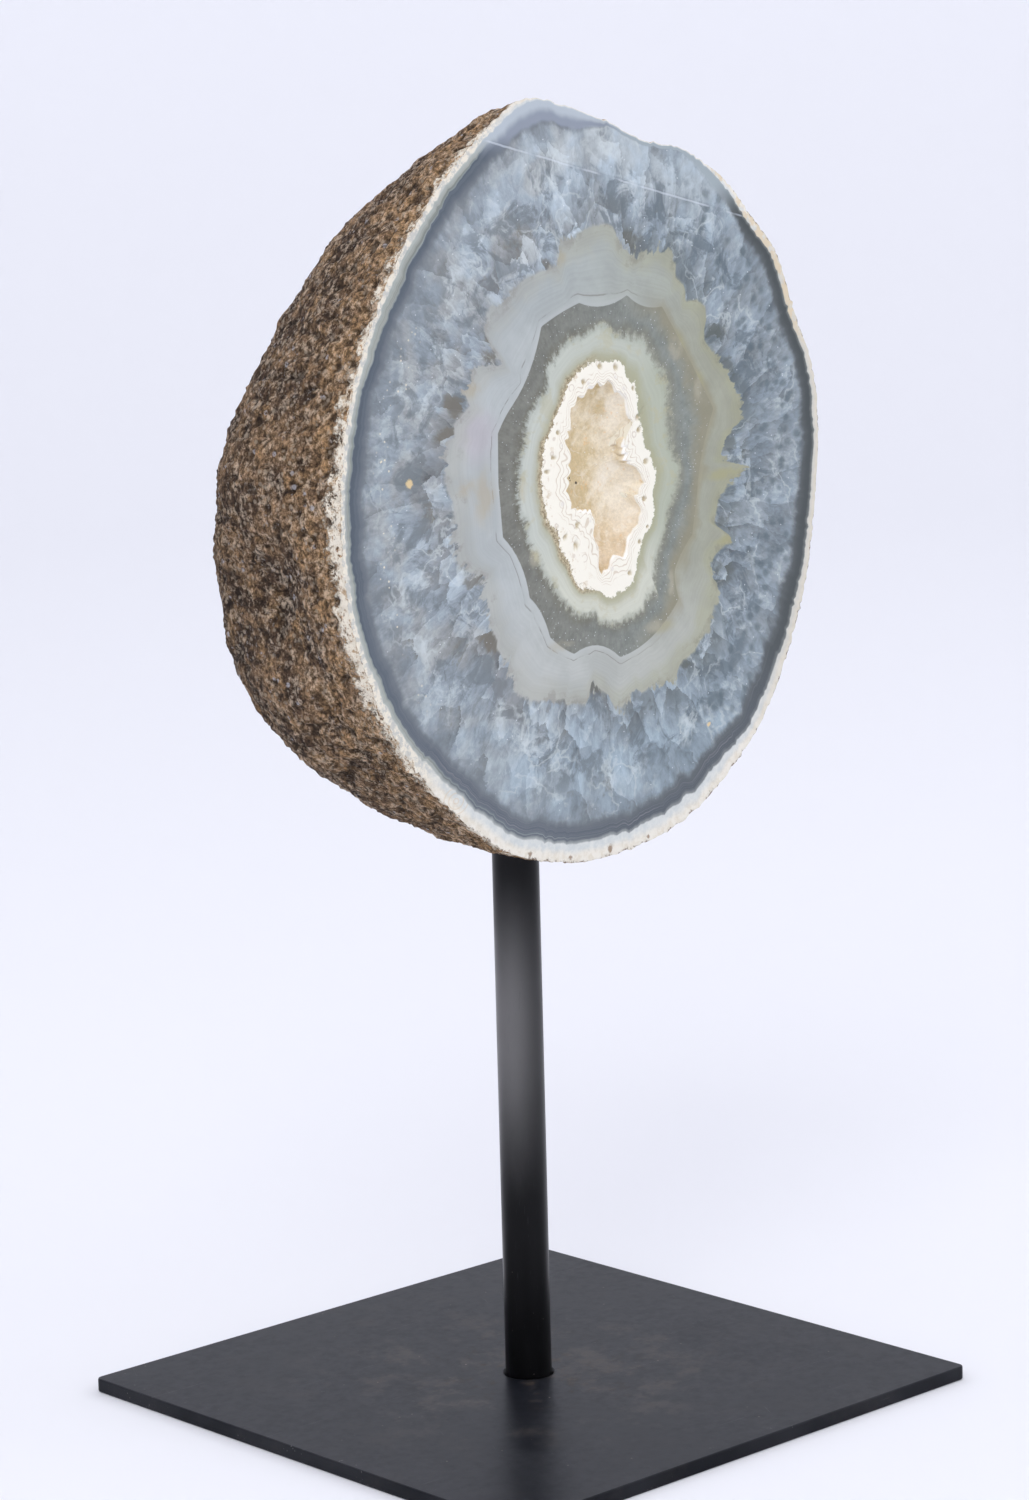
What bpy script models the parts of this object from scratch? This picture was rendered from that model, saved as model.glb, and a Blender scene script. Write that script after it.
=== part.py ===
"""Half of an agate nodule, cut and polished, on a black iron stand.

Metres, +Z up. The origin is the middle of the stand plate's underside, and the
polished face looks along -Y.
"""
import bpy
import bmesh
from bisect import bisect_right
from math import atan2, cos, exp, hypot, pi, radians, sin, sqrt
from random import Random

from mathutils import Matrix, Vector, noise

MM = 0.001
MERGE_DISTANCE = 0.00002
CONTACT_GAP = 0.3 * MM
OVERCUT = 5 * MM

PLATE_SIDE = 200 * MM
PLATE_THICKNESS = 4.5 * MM
PLATE_CORNER_RADIUS = 2.5 * MM
PLATE_EDGE_BEVEL = 0.5 * MM

POST_RADIUS = 7.5 * MM
POST_SIDES = 48
POST_END_BEVEL = 0.6 * MM
FOOT_RECESS_DEPTH = 3 * MM
FOOT_RECESS_CHAMFER = 0.7 * MM

# The half nodule: its face plane, its depth behind that plane at the middle, and
# the exponent that makes its back fuller than an ellipsoid's.
FACE_Y = -39 * MM
STONE_MIDDLE_HEIGHT = 297 * MM
STONE_DEPTH = 103 * MM
STONE_FULLNESS = 2.27
STONE_SEGMENTS = 88
STONE_RINGS = 44
SOCKET_TOP = 205 * MM

# The cut face's edge in millimetres, X and then height, anticlockwise from the right.
FACE_OUTLINE = [
    (101.5, 304), (99, 325), (91, 343), (83, 362), (72, 374), (60, 386.5), (43, 396),
    (25, 399.5), (8, 406.5), (-20, 413.5), (-35, 408.5), (-55, 394), (-75, 372), (-92, 342),
    (-100, 316), (-102, 285), (-97, 256), (-84, 228), (-65, 206), (-40, 187.5), (-15, 180.2),
    (5, 179.5), (30, 183.5), (50, 193), (70, 209.5), (84, 230), (95, 257), (99.5, 282),
]

# The broad swells and hollows of the back. Each has its turn round the face's axis
# and its dip behind the face in degrees, its spread in degrees, and its height as a
# share of the stone's radius.
BACK_SWELLS = [
    (85, 15, 30, -0.109), (180, 30, 26, 0.111), (212, 35, 26, 0.098), (240, 40, 28, 0.083),
    (265, 20, 26, 0.025), (285, 35, 32, -0.109), (196, 20, 12, -0.12), (190, 70, 40, -0.12),
    (5, 32, 30, 0.06), (40, 38, 26, 0.05), (330, 34, 28, 0.055),
]
SWELL_ONSET = 0.35
RIND_LUMP_HEIGHT = 1.3 * MM
RIND_LUMP_SIZE = 13 * MM
RIND_KNOB_SIZE = RIND_LUMP_SIZE / 2.3
RIND_KNOB_SHARE = 0.5

# The chip at the top: a second flat, a few degrees off the face, that starts at a
# sloping line across it.
CHIP_LINE = ((-42 * MM, 402 * MM), (45 * MM, 380 * MM))
CHIP_TILT = 4.5

# The crystal hollow's mouth in millimetres, X and then height, anticlockwise from
# the right.
HOLLOW_MOUTH = [
    (22.3, 294.5), (19, 300), (15.3, 305.5), (17.8, 313), (15.6, 320.5), (9.5, 326.6), (1.5, 326.6),
    (-5, 323), (-8.5, 318.5), (-10.8, 311), (-9.6, 304), (-10.4, 297), (-9.3, 291), (-3.5, 287.6),
    (0.4, 281.5), (1.4, 275), (3, 269), (8.3, 271), (14, 273), (19.6, 281.5), (19.6, 288.5),
]
HOLLOW_MIDDLE = (6 * MM, 299 * MM)
HOLLOW_DEPTH = 8 * MM
HOLLOW_WALL_SHAPE = 0.55
HOLLOW_SEGMENTS = 56
HOLLOW_RINGS = 20
HOLLOW_LIP = 0.6 * MM
MOUTH_WALL = 0.6 * MM
CRUST_THICKNESS = 1.4 * MM
CRUST_LUMPS = 70
CRUST_LUMP_RADIUS = (2.2 * MM, 4.2 * MM)
CRUST_LUMP_RISE = 0.38
CRUST_LUMP_ONSET = 0.4
CRUST_LUMP_LOWEST_DIP = 0.25
CRUST_SEED = 4


def make_collection(name):
    collection = bpy.data.collections.new(name)
    bpy.context.scene.collection.children.link(collection)
    return collection


def make_material(name, colour, roughness, metallic=0.0):
    material = bpy.data.materials.new(name)
    material.use_nodes = True
    shader = material.node_tree.nodes["Principled BSDF"]
    shader.inputs["Base Color"].default_value = (*colour, 1.0)
    shader.inputs["Roughness"].default_value = roughness
    shader.inputs["Metallic"].default_value = metallic
    return material


def make_object(name, mesh_code, collection, material=None):
    mesh = bpy.data.meshes.new(name)
    mesh_code.to_mesh(mesh)
    mesh_code.free()
    piece = bpy.data.objects.new(name, mesh)
    collection.objects.link(piece)
    if material:
        mesh.materials.append(material)
    return piece


def make_cutter(name, mesh_code):
    cutter = make_object(name, mesh_code, cutters)
    cutter.hide_render = True
    cutter.display_type = "WIRE"
    return cutter


def cut(piece, cutter):
    modifier = piece.modifiers.new(cutter.name, "BOOLEAN")
    modifier.operation = "DIFFERENCE"
    modifier.solver = "EXACT"
    modifier.object = cutter


def shade_smooth(piece, angle=40):
    piece.data.shade_smooth()
    piece.data.set_sharp_from_angle(angle=radians(angle))


def cylinder(radius, low, high, top_radius=None):
    code = bmesh.new()
    bmesh.ops.create_cone(
        code,
        cap_ends=True,
        segments=POST_SIDES,
        radius1=radius,
        radius2=radius if top_radius is None else top_radius,
        depth=high - low,
        matrix=Matrix.Translation((0, 0, (low + high) / 2)),
    )
    return code


def closed_curve(points, steps=12):
    """Points along the smooth closed curve through the given ones."""
    count = len(points)
    curve = []
    for i in range(count):
        before, start, end, after = (Vector(points[(i + k) % count]) * MM for k in (-1, 0, 1, 2))
        for step in range(steps):
            t = step / steps
            curve.append(
                0.5 * (2 * start + (end - before) * t
                       + (2 * before - 5 * start + 4 * end - after) * t * t
                       + (3 * start - before - 3 * end + after) * t ** 3)
            )
    return curve


def radius_by_angle(points, middle):
    """The distance from the middle to the closed curve, as a function of the angle."""
    rays = []
    for point in closed_curve(points):
        across, up = point.x - middle[0], point.y - middle[1]
        rays.append((atan2(up, across) % (2 * pi), hypot(across, up)))
    rays.sort()
    rays = [(rays[-1][0] - 2 * pi, rays[-1][1]), *rays, (rays[0][0] + 2 * pi, rays[0][1])]
    angles = [ray[0] for ray in rays]

    def radius(angle):
        angle %= 2 * pi
        after = min(max(bisect_right(angles, angle), 1), len(rays) - 1)
        (low, near), (high, far) = rays[after - 1], rays[after]
        return near + (far - near) * (angle - low) / max(high - low, 1e-9)

    return radius


def pole_on_y(segments, rings):
    """A unit sphere whose pole lies along Y and whose equator lies in the face plane."""
    code = bmesh.new()
    bmesh.ops.create_uvsphere(code, u_segments=segments, v_segments=rings, radius=1)
    bmesh.ops.rotate(code, verts=code.verts, matrix=Matrix.Rotation(-pi / 2, 3, "X"))
    return code


def turn_and_dip(point):
    """The angle round the Y axis, and the angle behind the face plane."""
    return atan2(point.z, point.x), atan2(point.y, hypot(point.x, point.z))


def direction(turn, dip):
    return Vector((cos(dip) * cos(turn), sin(dip), cos(dip) * sin(turn)))


def swell(ray, dip):
    """How much the back stands out or falls in along this ray."""
    total = 0.0
    for swell_turn, swell_dip, spread, height in BACK_SWELLS:
        apart = ray.angle(direction(radians(swell_turn), radians(swell_dip)), 0.0)
        total += height * exp(-(apart / radians(spread)) ** 2)
    return total * min(dip / SWELL_ONSET, 1.0)


def rind_lump(place):
    """The low lumps of the rind, with smaller knobs on them."""
    lumps = noise.noise(place / RIND_LUMP_SIZE)
    knobs = noise.noise(place / RIND_KNOB_SIZE)
    return RIND_LUMP_HEIGHT * (lumps + RIND_KNOB_SHARE * knobs)


def make_base_plate():
    code = bmesh.new()
    bmesh.ops.create_cube(code, size=1)
    bmesh.ops.scale(code, verts=code.verts, vec=(PLATE_SIDE, PLATE_SIDE, PLATE_THICKNESS))
    bmesh.ops.translate(code, verts=code.verts, vec=(0, 0, PLATE_THICKNESS / 2))
    upright = [e for e in code.edges if abs(e.verts[0].co.z - e.verts[1].co.z) > MM]
    bmesh.ops.bevel(
        code, geom=upright, offset=PLATE_CORNER_RADIUS, segments=5, profile=0.5,
        affect="EDGES", material=-1,
    )
    around = [e for e in code.edges if abs(e.verts[0].co.z - e.verts[1].co.z) < MERGE_DISTANCE]
    bmesh.ops.bevel(
        code, geom=around, offset=PLATE_EDGE_BEVEL, segments=2, profile=0.5,
        affect="EDGES", material=-1,
    )
    plate = make_object("base_plate", code, parts, black_iron)
    hole = POST_RADIUS + CONTACT_GAP
    floor = PLATE_THICKNESS - FOOT_RECESS_DEPTH
    cut(plate, make_cutter("foot_recess", cylinder(hole, floor, PLATE_THICKNESS + OVERCUT)))
    chamfer = cylinder(
        hole - CONTACT_GAP,
        PLATE_THICKNESS - FOOT_RECESS_CHAMFER - CONTACT_GAP,
        PLATE_THICKNESS + FOOT_RECESS_CHAMFER,
        hole + 2 * FOOT_RECESS_CHAMFER,
    )
    cut(plate, make_cutter("foot_recess_chamfer", chamfer))
    shade_smooth(plate)
    return plate


def make_post():
    low = PLATE_THICKNESS - FOOT_RECESS_DEPTH + CONTACT_GAP
    code = cylinder(POST_RADIUS, low, SOCKET_TOP - CONTACT_GAP)
    rims = [e for e in code.edges if abs(e.verts[0].co.z - e.verts[1].co.z) < MERGE_DISTANCE]
    bmesh.ops.bevel(
        code, geom=rims, offset=POST_END_BEVEL, segments=2, profile=0.5,
        affect="EDGES", material=-1,
    )
    post = make_object("post", code, parts, black_iron)
    shade_smooth(post)
    return post


def make_stone():
    middle = Vector((0, FACE_Y, STONE_MIDDLE_HEIGHT))
    edge_radius = radius_by_angle(FACE_OUTLINE, (0, STONE_MIDDLE_HEIGHT))
    code = pole_on_y(STONE_SEGMENTS, STONE_RINGS)
    front = [v for v in code.verts if v.co.y < -MERGE_DISTANCE]
    bmesh.ops.delete(code, geom=front, context="VERTS")
    for vertex in code.verts:
        turn, dip = turn_and_dip(vertex.co)
        ray = direction(turn, dip)
        edge = edge_radius(turn)
        reach = ((abs(cos(dip)) / edge) ** STONE_FULLNESS
                 + (abs(sin(dip)) / STONE_DEPTH) ** STONE_FULLNESS) ** (-1 / STONE_FULLNESS)
        reach *= 1 + swell(ray, dip)
        place = middle + ray * reach
        if dip > MERGE_DISTANCE:
            place += ray * rind_lump(place)
        vertex.co = place
    rim = [e for e in code.edges if e.is_boundary]
    bmesh.ops.holes_fill(code, edges=rim)

    (left, left_up), (right, right_up) = CHIP_LINE
    along = Vector((right - left, 0, right_up - left_up)).normalized()
    chip_normal = Matrix.Rotation(radians(-CHIP_TILT), 3, along) @ Vector((0, -1, 0))
    geometry = code.verts[:] + code.edges[:] + code.faces[:]
    sliced = bmesh.ops.bisect_plane(
        code, geom=geometry, dist=MERGE_DISTANCE, plane_co=(left, FACE_Y, left_up),
        plane_no=chip_normal, clear_outer=True,
    )
    opened = [e for e in sliced["geom_cut"] if isinstance(e, bmesh.types.BMEdge) and e.is_boundary]
    bmesh.ops.holes_fill(code, edges=opened)
    bmesh.ops.recalc_face_normals(code, faces=code.faces)
    bmesh.ops.triangulate(code, faces=[f for f in code.faces if len(f.verts) > 4])
    stone = make_object("stone", code, parts, agate)
    cut(stone, make_cutter("crystal_hollow", hollow_form(MOUTH_WALL + CONTACT_GAP, OVERCUT)))
    socket = cylinder(POST_RADIUS + CONTACT_GAP, STONE_MIDDLE_HEIGHT / 2, SOCKET_TOP)
    cut(stone, make_cutter("post_socket", socket))
    shade_smooth(stone, 30)
    return stone


def bowl_point(turn, dip, edge, depth):
    """A point of the hollow's steep-walled bowl, whose mouth has this radius at this turn."""
    across = edge * abs(cos(dip)) ** HOLLOW_WALL_SHAPE
    down = depth * sin(dip)
    x = HOLLOW_MIDDLE[0] + across * cos(turn)
    z = HOLLOW_MIDDLE[1] + across * sin(turn)
    return Vector((x, FACE_Y + down, z))


def hollow_form(margin, overcut):
    """The bowl that is cut into the stone, with straight walls out past its face."""
    mouth_radius = radius_by_angle(HOLLOW_MOUTH, HOLLOW_MIDDLE)
    depth = HOLLOW_DEPTH + CRUST_THICKNESS - HOLLOW_LIP
    ring = pi / HOLLOW_RINGS
    code = pole_on_y(HOLLOW_SEGMENTS, HOLLOW_RINGS)
    for vertex in code.verts:
        turn, dip = turn_and_dip(vertex.co)
        edge = mouth_radius(turn) + margin
        place = bowl_point(turn, dip, edge, depth + margin)
        if dip < -MERGE_DISTANCE:
            shrink = 1 if dip > -1.5 * ring else cos(dip)
            place = bowl_point(turn, 0, edge * shrink, 0)
            place.y = FACE_Y - overcut
        else:
            place.y += HOLLOW_LIP
        vertex.co = place
    return code


def crust_lump_spots(draw):
    spots = []
    for _ in range(CRUST_LUMPS):
        turn = draw.uniform(0, 2 * pi)
        dip = draw.uniform(CRUST_LUMP_LOWEST_DIP, pi / 2)
        spots.append((turn, dip, draw.uniform(*CRUST_LUMP_RADIUS)))
    return spots


def make_vug_crust():
    """The lining of rounded crystal lumps: its outside follows the stone's bowl."""
    mouth_radius = radius_by_angle(HOLLOW_MOUTH, HOLLOW_MIDDLE)
    spots = [
        (bowl_point(turn, dip, mouth_radius(turn), HOLLOW_DEPTH), radius)
        for turn, dip, radius in crust_lump_spots(Random(CRUST_SEED))
    ]
    ring = pi / HOLLOW_RINGS
    code = pole_on_y(HOLLOW_SEGMENTS, HOLLOW_RINGS)
    for vertex in code.verts:
        turn, dip = turn_and_dip(vertex.co)
        mouth = mouth_radius(turn)
        if dip > -MERGE_DISTANCE:
            depth = HOLLOW_DEPTH + CRUST_THICKNESS - HOLLOW_LIP
            place = bowl_point(turn, dip, mouth + MOUTH_WALL, depth)
            place.y += HOLLOW_LIP
        elif dip > -1.5 * ring:
            place = bowl_point(turn, 0, mouth + MOUTH_WALL, 0)
        else:
            inner_dip = (-dip - 2 * ring) * (pi / 2) / (pi / 2 - 2 * ring)
            place = bowl_point(turn, inner_dip, mouth, HOLLOW_DEPTH)
            inward = (Vector((HOLLOW_MIDDLE[0], FACE_Y, HOLLOW_MIDDLE[1])) - place).normalized()
            rise = 0.0
            for spot, radius in spots:
                near = (place - spot).length / radius
                if near < 1:
                    rise = max(rise, CRUST_LUMP_RISE * radius * sqrt(1 - near * near))
            place += inward * rise * min(inner_dip / CRUST_LUMP_ONSET, 1)
        vertex.co = place
    bmesh.ops.recalc_face_normals(code, faces=code.faces)
    crust = make_object("vug_crust", code, parts, crystal)
    shade_smooth(crust, 60)
    return crust


for old in list(bpy.data.objects):
    bpy.data.objects.remove(old, do_unlink=True)

parts = make_collection("agate_geode")
cutters = make_collection("cutters")
black_iron = make_material("black_iron", (0.03, 0.03, 0.032), 0.45, 0.6)
agate = make_material("agate", (0.42, 0.45, 0.52), 0.25)
crystal = make_material("crystal", (0.72, 0.66, 0.56), 0.5)

make_base_plate()
make_post()
make_stone()
make_vug_crust()
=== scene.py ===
"""The half agate nodule on its iron stand: fine surfaces, finishes, light and camera.

Metres, +Z up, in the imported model's frame. The polished face looks along -Y.
"""

from bisect import bisect_right
from math import atan2, cos, exp, hypot, pi, radians, sin, sqrt, tan
from random import Random

import bmesh
import bpy
from mathutils import Matrix, Vector, noise
from mathutils.bvhtree import BVHTree
from mathutils.kdtree import KDTree


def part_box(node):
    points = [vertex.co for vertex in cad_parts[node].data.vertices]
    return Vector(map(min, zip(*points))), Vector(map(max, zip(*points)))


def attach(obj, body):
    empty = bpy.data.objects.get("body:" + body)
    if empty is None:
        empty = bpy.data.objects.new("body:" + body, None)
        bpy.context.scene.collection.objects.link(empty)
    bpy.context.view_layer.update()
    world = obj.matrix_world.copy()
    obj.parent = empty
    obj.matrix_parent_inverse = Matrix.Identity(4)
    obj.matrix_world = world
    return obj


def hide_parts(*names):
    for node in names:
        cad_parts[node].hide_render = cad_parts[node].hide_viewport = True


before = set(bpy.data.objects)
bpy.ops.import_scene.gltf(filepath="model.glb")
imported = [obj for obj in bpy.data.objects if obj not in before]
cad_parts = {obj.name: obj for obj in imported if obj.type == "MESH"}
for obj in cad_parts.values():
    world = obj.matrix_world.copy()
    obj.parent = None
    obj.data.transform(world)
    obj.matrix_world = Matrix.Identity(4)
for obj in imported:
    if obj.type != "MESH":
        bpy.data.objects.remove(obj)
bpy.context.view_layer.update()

MM = 0.001
MERGE_DISTANCE = 0.00001

FACE_Y = -39 * MM
STONE_MIDDLE_HEIGHT = 297 * MM
STONE_MIDDLE = Vector((0, FACE_Y, STONE_MIDDLE_HEIGHT))
STONE_DEPTH = 103 * MM
STONE_FULLNESS = 2.27
HOLLOW_MIDDLE = (6 * MM, 299 * MM)
HOLLOW_DEPTH = 8 * MM
HOLLOW_WALL_SHAPE = 0.55
PINHOLE_DEPTH = 0.7 * MM

# The bowl in the stone and the back of the crust in it, beyond the mouth's radius and the
# hollow's depth. At the mouth the crust is the wider one, so that no gap shows.
BOWL_EXTRA_RADIUS = 0.5 * MM
BOWL_EXTRA_DEPTH = 2.2 * MM
CRUST_EXTRA_RADIUS = 0.7 * MM
CRUST_THICKNESS = 1.4 * MM
CRUST_SET_BACK = 0.04 * MM

STONE_TURNS = 520
BACK_RINGS = 118
BOWL_RINGS = 10
CRUST_TURNS = 300
CRUST_RINGS = 100
ROUND_TURNS = 96
SHARP_EDGE = radians(38)

# The band value says which layer a point lies in. It is 0 at the hollow's mouth, a whole
# number at each layer's edge and 7 at the face's edge. Behind that it grows by 1 for
# each stretch of the rind. The pinholes all lie inside the value where the lace ends.
FACE_EDGE_BAND = 7
RIND_STRETCH = 10 * MM
LACE_ENDS = 1.4
LEAST_BAND_WIDTH = 0.4 * MM
# Each layer's outer band value, and how many rings of vertices the layer is cut into.
LAYER_RINGS = [(7, 3), (6, 6), (5, 12), (4, 9), (3, 7), (2, 5), (1, 14)]

# The cut face's edge in millimetres, X and then height, anticlockwise from the right.
FACE_OUTLINE = [
    (101.5, 304), (99, 325), (91, 343), (83, 362), (72, 374), (60, 386.5), (43, 396),
    (25, 399.5), (8, 406.5), (-20, 413.5), (-35, 408.5), (-55, 394), (-75, 372), (-92, 342),
    (-100, 316), (-102, 285), (-97, 256), (-84, 228), (-65, 206), (-40, 187.5), (-15, 180.2),
    (5, 179.5), (30, 183.5), (50, 193), (70, 209.5), (84, 230), (95, 257), (99.5, 282),
]

# The broad swells and hollows of the back: turn, dip and spread in degrees, and the
# height as a share of the stone's radius.
BACK_SWELLS = [
    (85, 15, 30, -0.109), (180, 30, 26, 0.111), (212, 35, 26, 0.098), (240, 40, 28, 0.083),
    (265, 20, 26, 0.025), (285, 35, 32, -0.109), (196, 20, 12, -0.12), (190, 70, 40, -0.12),
    (5, 32, 30, 0.06), (40, 38, 26, 0.05), (330, 34, 28, 0.055),
]
SWELL_ONSET = 0.35

# How wide the chalky skin is, and the dark laminated band inside it with its
# translucent outer layer, at each turn: degrees and millimetres.
SKIN_WIDTH = [
    (0, 2.1), (20, 2.3), (35, 2.2), (45, 2.6), (55, 1.8), (62, 0.3), (98, 0.3), (104, 1.8),
    (115, 2.2), (140, 1.9), (180, 1.5), (205, 1.9), (220, 3.2), (232, 5.0), (250, 5.6),
    (270, 6.0), (290, 5.8), (310, 4.4), (330, 3.0), (345, 2.2),
]
DARK_BAND_WIDTH = [
    (0, 7.5), (30, 6.5), (48, 5.5), (60, 4.0), (66, 1.2), (84, 1.2), (92, 7.5), (105, 9.0),
    (120, 8.5), (160, 8.0), (200, 8.0), (235, 7.5), (270, 7.5), (300, 8.5), (320, 9.5), (345, 8.5),
]

# Where the wide quartz gives way to the pale banded agate, with its pointed teeth:
# X and height in millimetres, anticlockwise from the top.
QUARTZ_EDGE = [
    (0, 374), (-5, 372), (-11, 371), (-12, 366), (-13, 363), (-20, 362), (-28, 359.5),
    (-32, 356), (-38, 353), (-43, 350.5), (-45, 347), (-41, 342), (-38, 338.5), (-36.3, 335.2),
    (-47, 335), (-50, 332), (-52, 328), (-50, 324), (-53, 321.5), (-56.5, 319.5), (-57, 315.5),
    (-60, 313.5), (-61, 307), (-60, 300), (-58, 296), (-57, 289), (-57.5, 283), (-57, 278),
    (-53, 274.5), (-46, 272.3), (-46, 266), (-44.5, 262), (-44, 257), (-41.5, 252.5), (-42, 250),
    (-39.5, 247), (-36.2, 246), (-38, 242), (-38, 240), (-34, 235.5), (-29, 232.5), (-24, 231.8),
    (-19, 231), (-14, 231.5), (-13.5, 229), (-9, 229), (-5, 228.5), (-2, 234.5), (4.8, 230),
    (6, 227.5), (10, 225), (15, 229), (17.7, 230.3), (19, 228.5), (24, 231), (26, 231.5),
    (28, 229.5), (33, 231), (36.5, 235.5), (38, 237), (42, 238.5), (44, 240), (47.5, 244),
    (50, 246), (51.5, 251), (55, 256), (53, 261), (51.5, 265), (53, 268.5), (57, 271), (62, 273),
    (56, 276.5), (53, 278.5), (53.5, 281), (55, 286), (59, 290), (62.5, 292.5), (69, 295.5),
    (57, 298), (57, 301), (58.5, 304.5), (62, 308), (67, 310), (66, 315), (64.5, 319), (62, 323),
    (60, 326), (56, 329.5), (54, 332), (50, 336.5), (50, 340), (51, 343), (50.5, 347), (47, 349.5),
    (42, 349), (41.5, 354), (37.5, 357), (38, 360.5), (36, 363.5), (32, 365.5), (28, 366),
    (23, 366), (20.5, 364), (17, 366), (13, 370), (11, 374), (8, 375),
]

# The cusps of the pale banded agate's inner edge, anticlockwise from the top left, and
# how far the edge bulges towards the hollow before the next one, in millimetres.
SCALLOP_CUSPS = [
    (-39, 314.8, 0), (-39.3, 300, 0), (-38, 283.5, 2.0), (-27.6, 264, 1.3), (-19.5, 251, -0.5),
    (-9.5, 244.6, 3.2), (10.3, 241.2, -3.0), (36.5, 256.5, 1.8), (35.5, 267, 0.5), (43, 276, 0),
    (45.5, 289, 1.4), (53.5, 314.8, -0.3), (31.5, 348.3, 1.7), (16.5, 352.7, 2.2),
    (-4, 351.6, -0.4), (-20, 345.5, 1.8), (-32.5, 323, -0.4),
]

# The jagged edge where the dark needles grow out of the inner pale ring.
NEEDLE_ROOTS = [
    (-13.5, 336.5), (-10, 339.5), (-7, 341.3), (-2, 341.5), (1.5, 343.5), (4.5, 344.8),
    (8.5, 344), (10, 341.5), (14, 340.5), (19, 339.5), (23, 339.5), (25, 336), (27, 333),
    (29, 330.5), (33, 326), (33.5, 321), (33, 316), (33.5, 305), (36, 301), (38, 297),
    (36.5, 291), (34.5, 288), (32, 284), (31, 279), (27.5, 272), (26, 268), (25.5, 263),
    (26.5, 260), (22, 258), (20, 254.5), (15, 253.5), (10, 252), (5, 252.3), (1.5, 253.3),
    (0, 256), (-4, 255.8), (-8.5, 257), (-12.5, 260.5), (-17, 265), (-21, 270), (-24, 275),
    (-27.5, 280), (-28.3, 285), (-30.5, 290), (-31.5, 295), (-31, 300), (-30.5, 305),
    (-28.5, 311), (-27, 317.5), (-23.5, 322), (-18.5, 327), (-18, 333),
]

# The ragged outside of the white lace round the hollow.
LACE_EDGE = [
    (2, 333.5), (6, 332.8), (8, 332.5), (10, 333.2), (12, 332.8), (14.8, 330.8), (15, 328.5),
    (17, 326), (19, 325), (19.5, 322), (20, 317.5), (21, 312), (22, 308), (23, 305), (25, 303.5),
    (26, 300), (27.5, 297), (26.5, 293), (25.5, 290), (26.5, 286), (25, 281), (22, 278.5),
    (20, 275), (18.5, 271), (18, 268), (16.5, 264), (12, 262), (8, 260.5), (5, 260.5), (2, 263),
    (-2, 264), (-6, 264.5), (-8.5, 267), (-10.5, 273), (-14, 277.5), (-15, 283), (-19, 286),
    (-20.5, 292), (-21.5, 300), (-20.5, 305), (-20, 310), (-17, 313), (-15, 318), (-12, 322),
    (-10.5, 325), (-9, 327.5), (-6, 330), (-3, 331.5),
]

# The scalloped mouth of the hollow.
MOUTH = [
    (-5, 323), (-2, 324.5), (1, 326.5), (6, 326.5), (9, 327), (11.5, 323.5), (15, 321.5),
    (16.5, 316), (18, 313), (14.5, 309), (14.5, 306), (16, 301.5), (20, 299), (22.5, 294.5),
    (19, 290), (21.5, 286), (19.5, 281.5), (15.5, 277), (14, 272.5), (8.5, 272), (6.5, 268.5),
    (2.5, 268.5), (1.5, 273), (2, 276), (-0.2, 280.3), (0.6, 284.5), (-1.5, 287), (-6, 288),
    (-9.5, 290.5), (-10.3, 294), (-10.5, 298), (-9.3, 302), (-9.3, 306.5), (-11, 310),
    (-8.7, 314.5), (-8.6, 319),
]

MOUTH_LOBES = 32

# Small holes in the lace: X, height and radius in millimetres.
LACE_HOLES = [
    (-2.8, 327.5, 0.8), (4.3, 331.8, 0.9), (11, 331, 0.9), (18.3, 324, 0.6), (20.2, 315, 0.9),
    (20.4, 311, 0.8), (23.2, 301, 0.9), (22.2, 289.5, 0.8), (-6.8, 284.2, 0.9), (-7.5, 278, 1.1),
    (-14, 313, 0.7), (-19, 301.5, 0.7), (15.3, 267, 0.8), (19.8, 276.3, 0.7), (-16.2, 305.6, 0.7),
    (23.3, 280.6, 0.5), (-12, 281, 0.7),
]

# Brown smoky pockets in the quartz, and honey and olive stains in the pale agate: X,
# height, half width and half height in millimetres.
SMOKY_POCKETS = [
    (-41, 339, 5, 3.4), (5.5, 364, 3.4, 3.6), (18.5, 369, 4.2, 2.6), (-56, 324, 4, 4),
    (-60, 316, 4, 2.5), (-50, 271, 5, 2.6), (-43, 253, 3, 2.4), (-38, 246.5, 2.4, 1.2),
    (-15.5, 230.5, 3, 1.4), (-1, 233, 3, 1.6), (60, 328, 4, 4), (54, 339, 4, 2.2), (-17, 364, 4, 1.6),
    (38.5, 235.5, 2, 1.2), (60, 303, 4, 4.5), (57, 279, 3, 3), (55, 263, 3, 3),
]
HONEY_STAINS = [
    (-45, 296, 4.5, 9), (20, 377, 4.5, 4.5), (-14, 247.8, 6, 2), (-25, 276, 3, 4),
    (-29.5, 297, 2, 5), (27, 249, 7, 2.4), (57, 294, 9, 2), (58, 273, 5, 1.6), (-12, 366, 3, 3),
    (-50, 329, 4, 3), (-53, 300, 4, 3), (33, 262, 2, 5), (37, 335, 4, 5), (47, 322, 3, 5),
]

# The chip at the top of the face: a second flat, tilted off the first.
CHIP_LINE = ((-42 * MM, 402 * MM), (45 * MM, 380 * MM))
CHIP_TILT = 4.5

# What the studio's light adds to a surface: how much brighter than its own colour a
# matt one looks, in red, green and blue, and the paleness of a polished one's gloss.
STUDIO_GAIN = (0.98, 1.0, 1.08)
STUDIO_GLOSS = 0.065


def math_method(operation, swapped=False):
    """A method that joins its channel and another number in one Math node."""

    def method(self, other):
        return self.math(operation, other, self) if swapped else self.math(operation, self, other)

    return method


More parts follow.
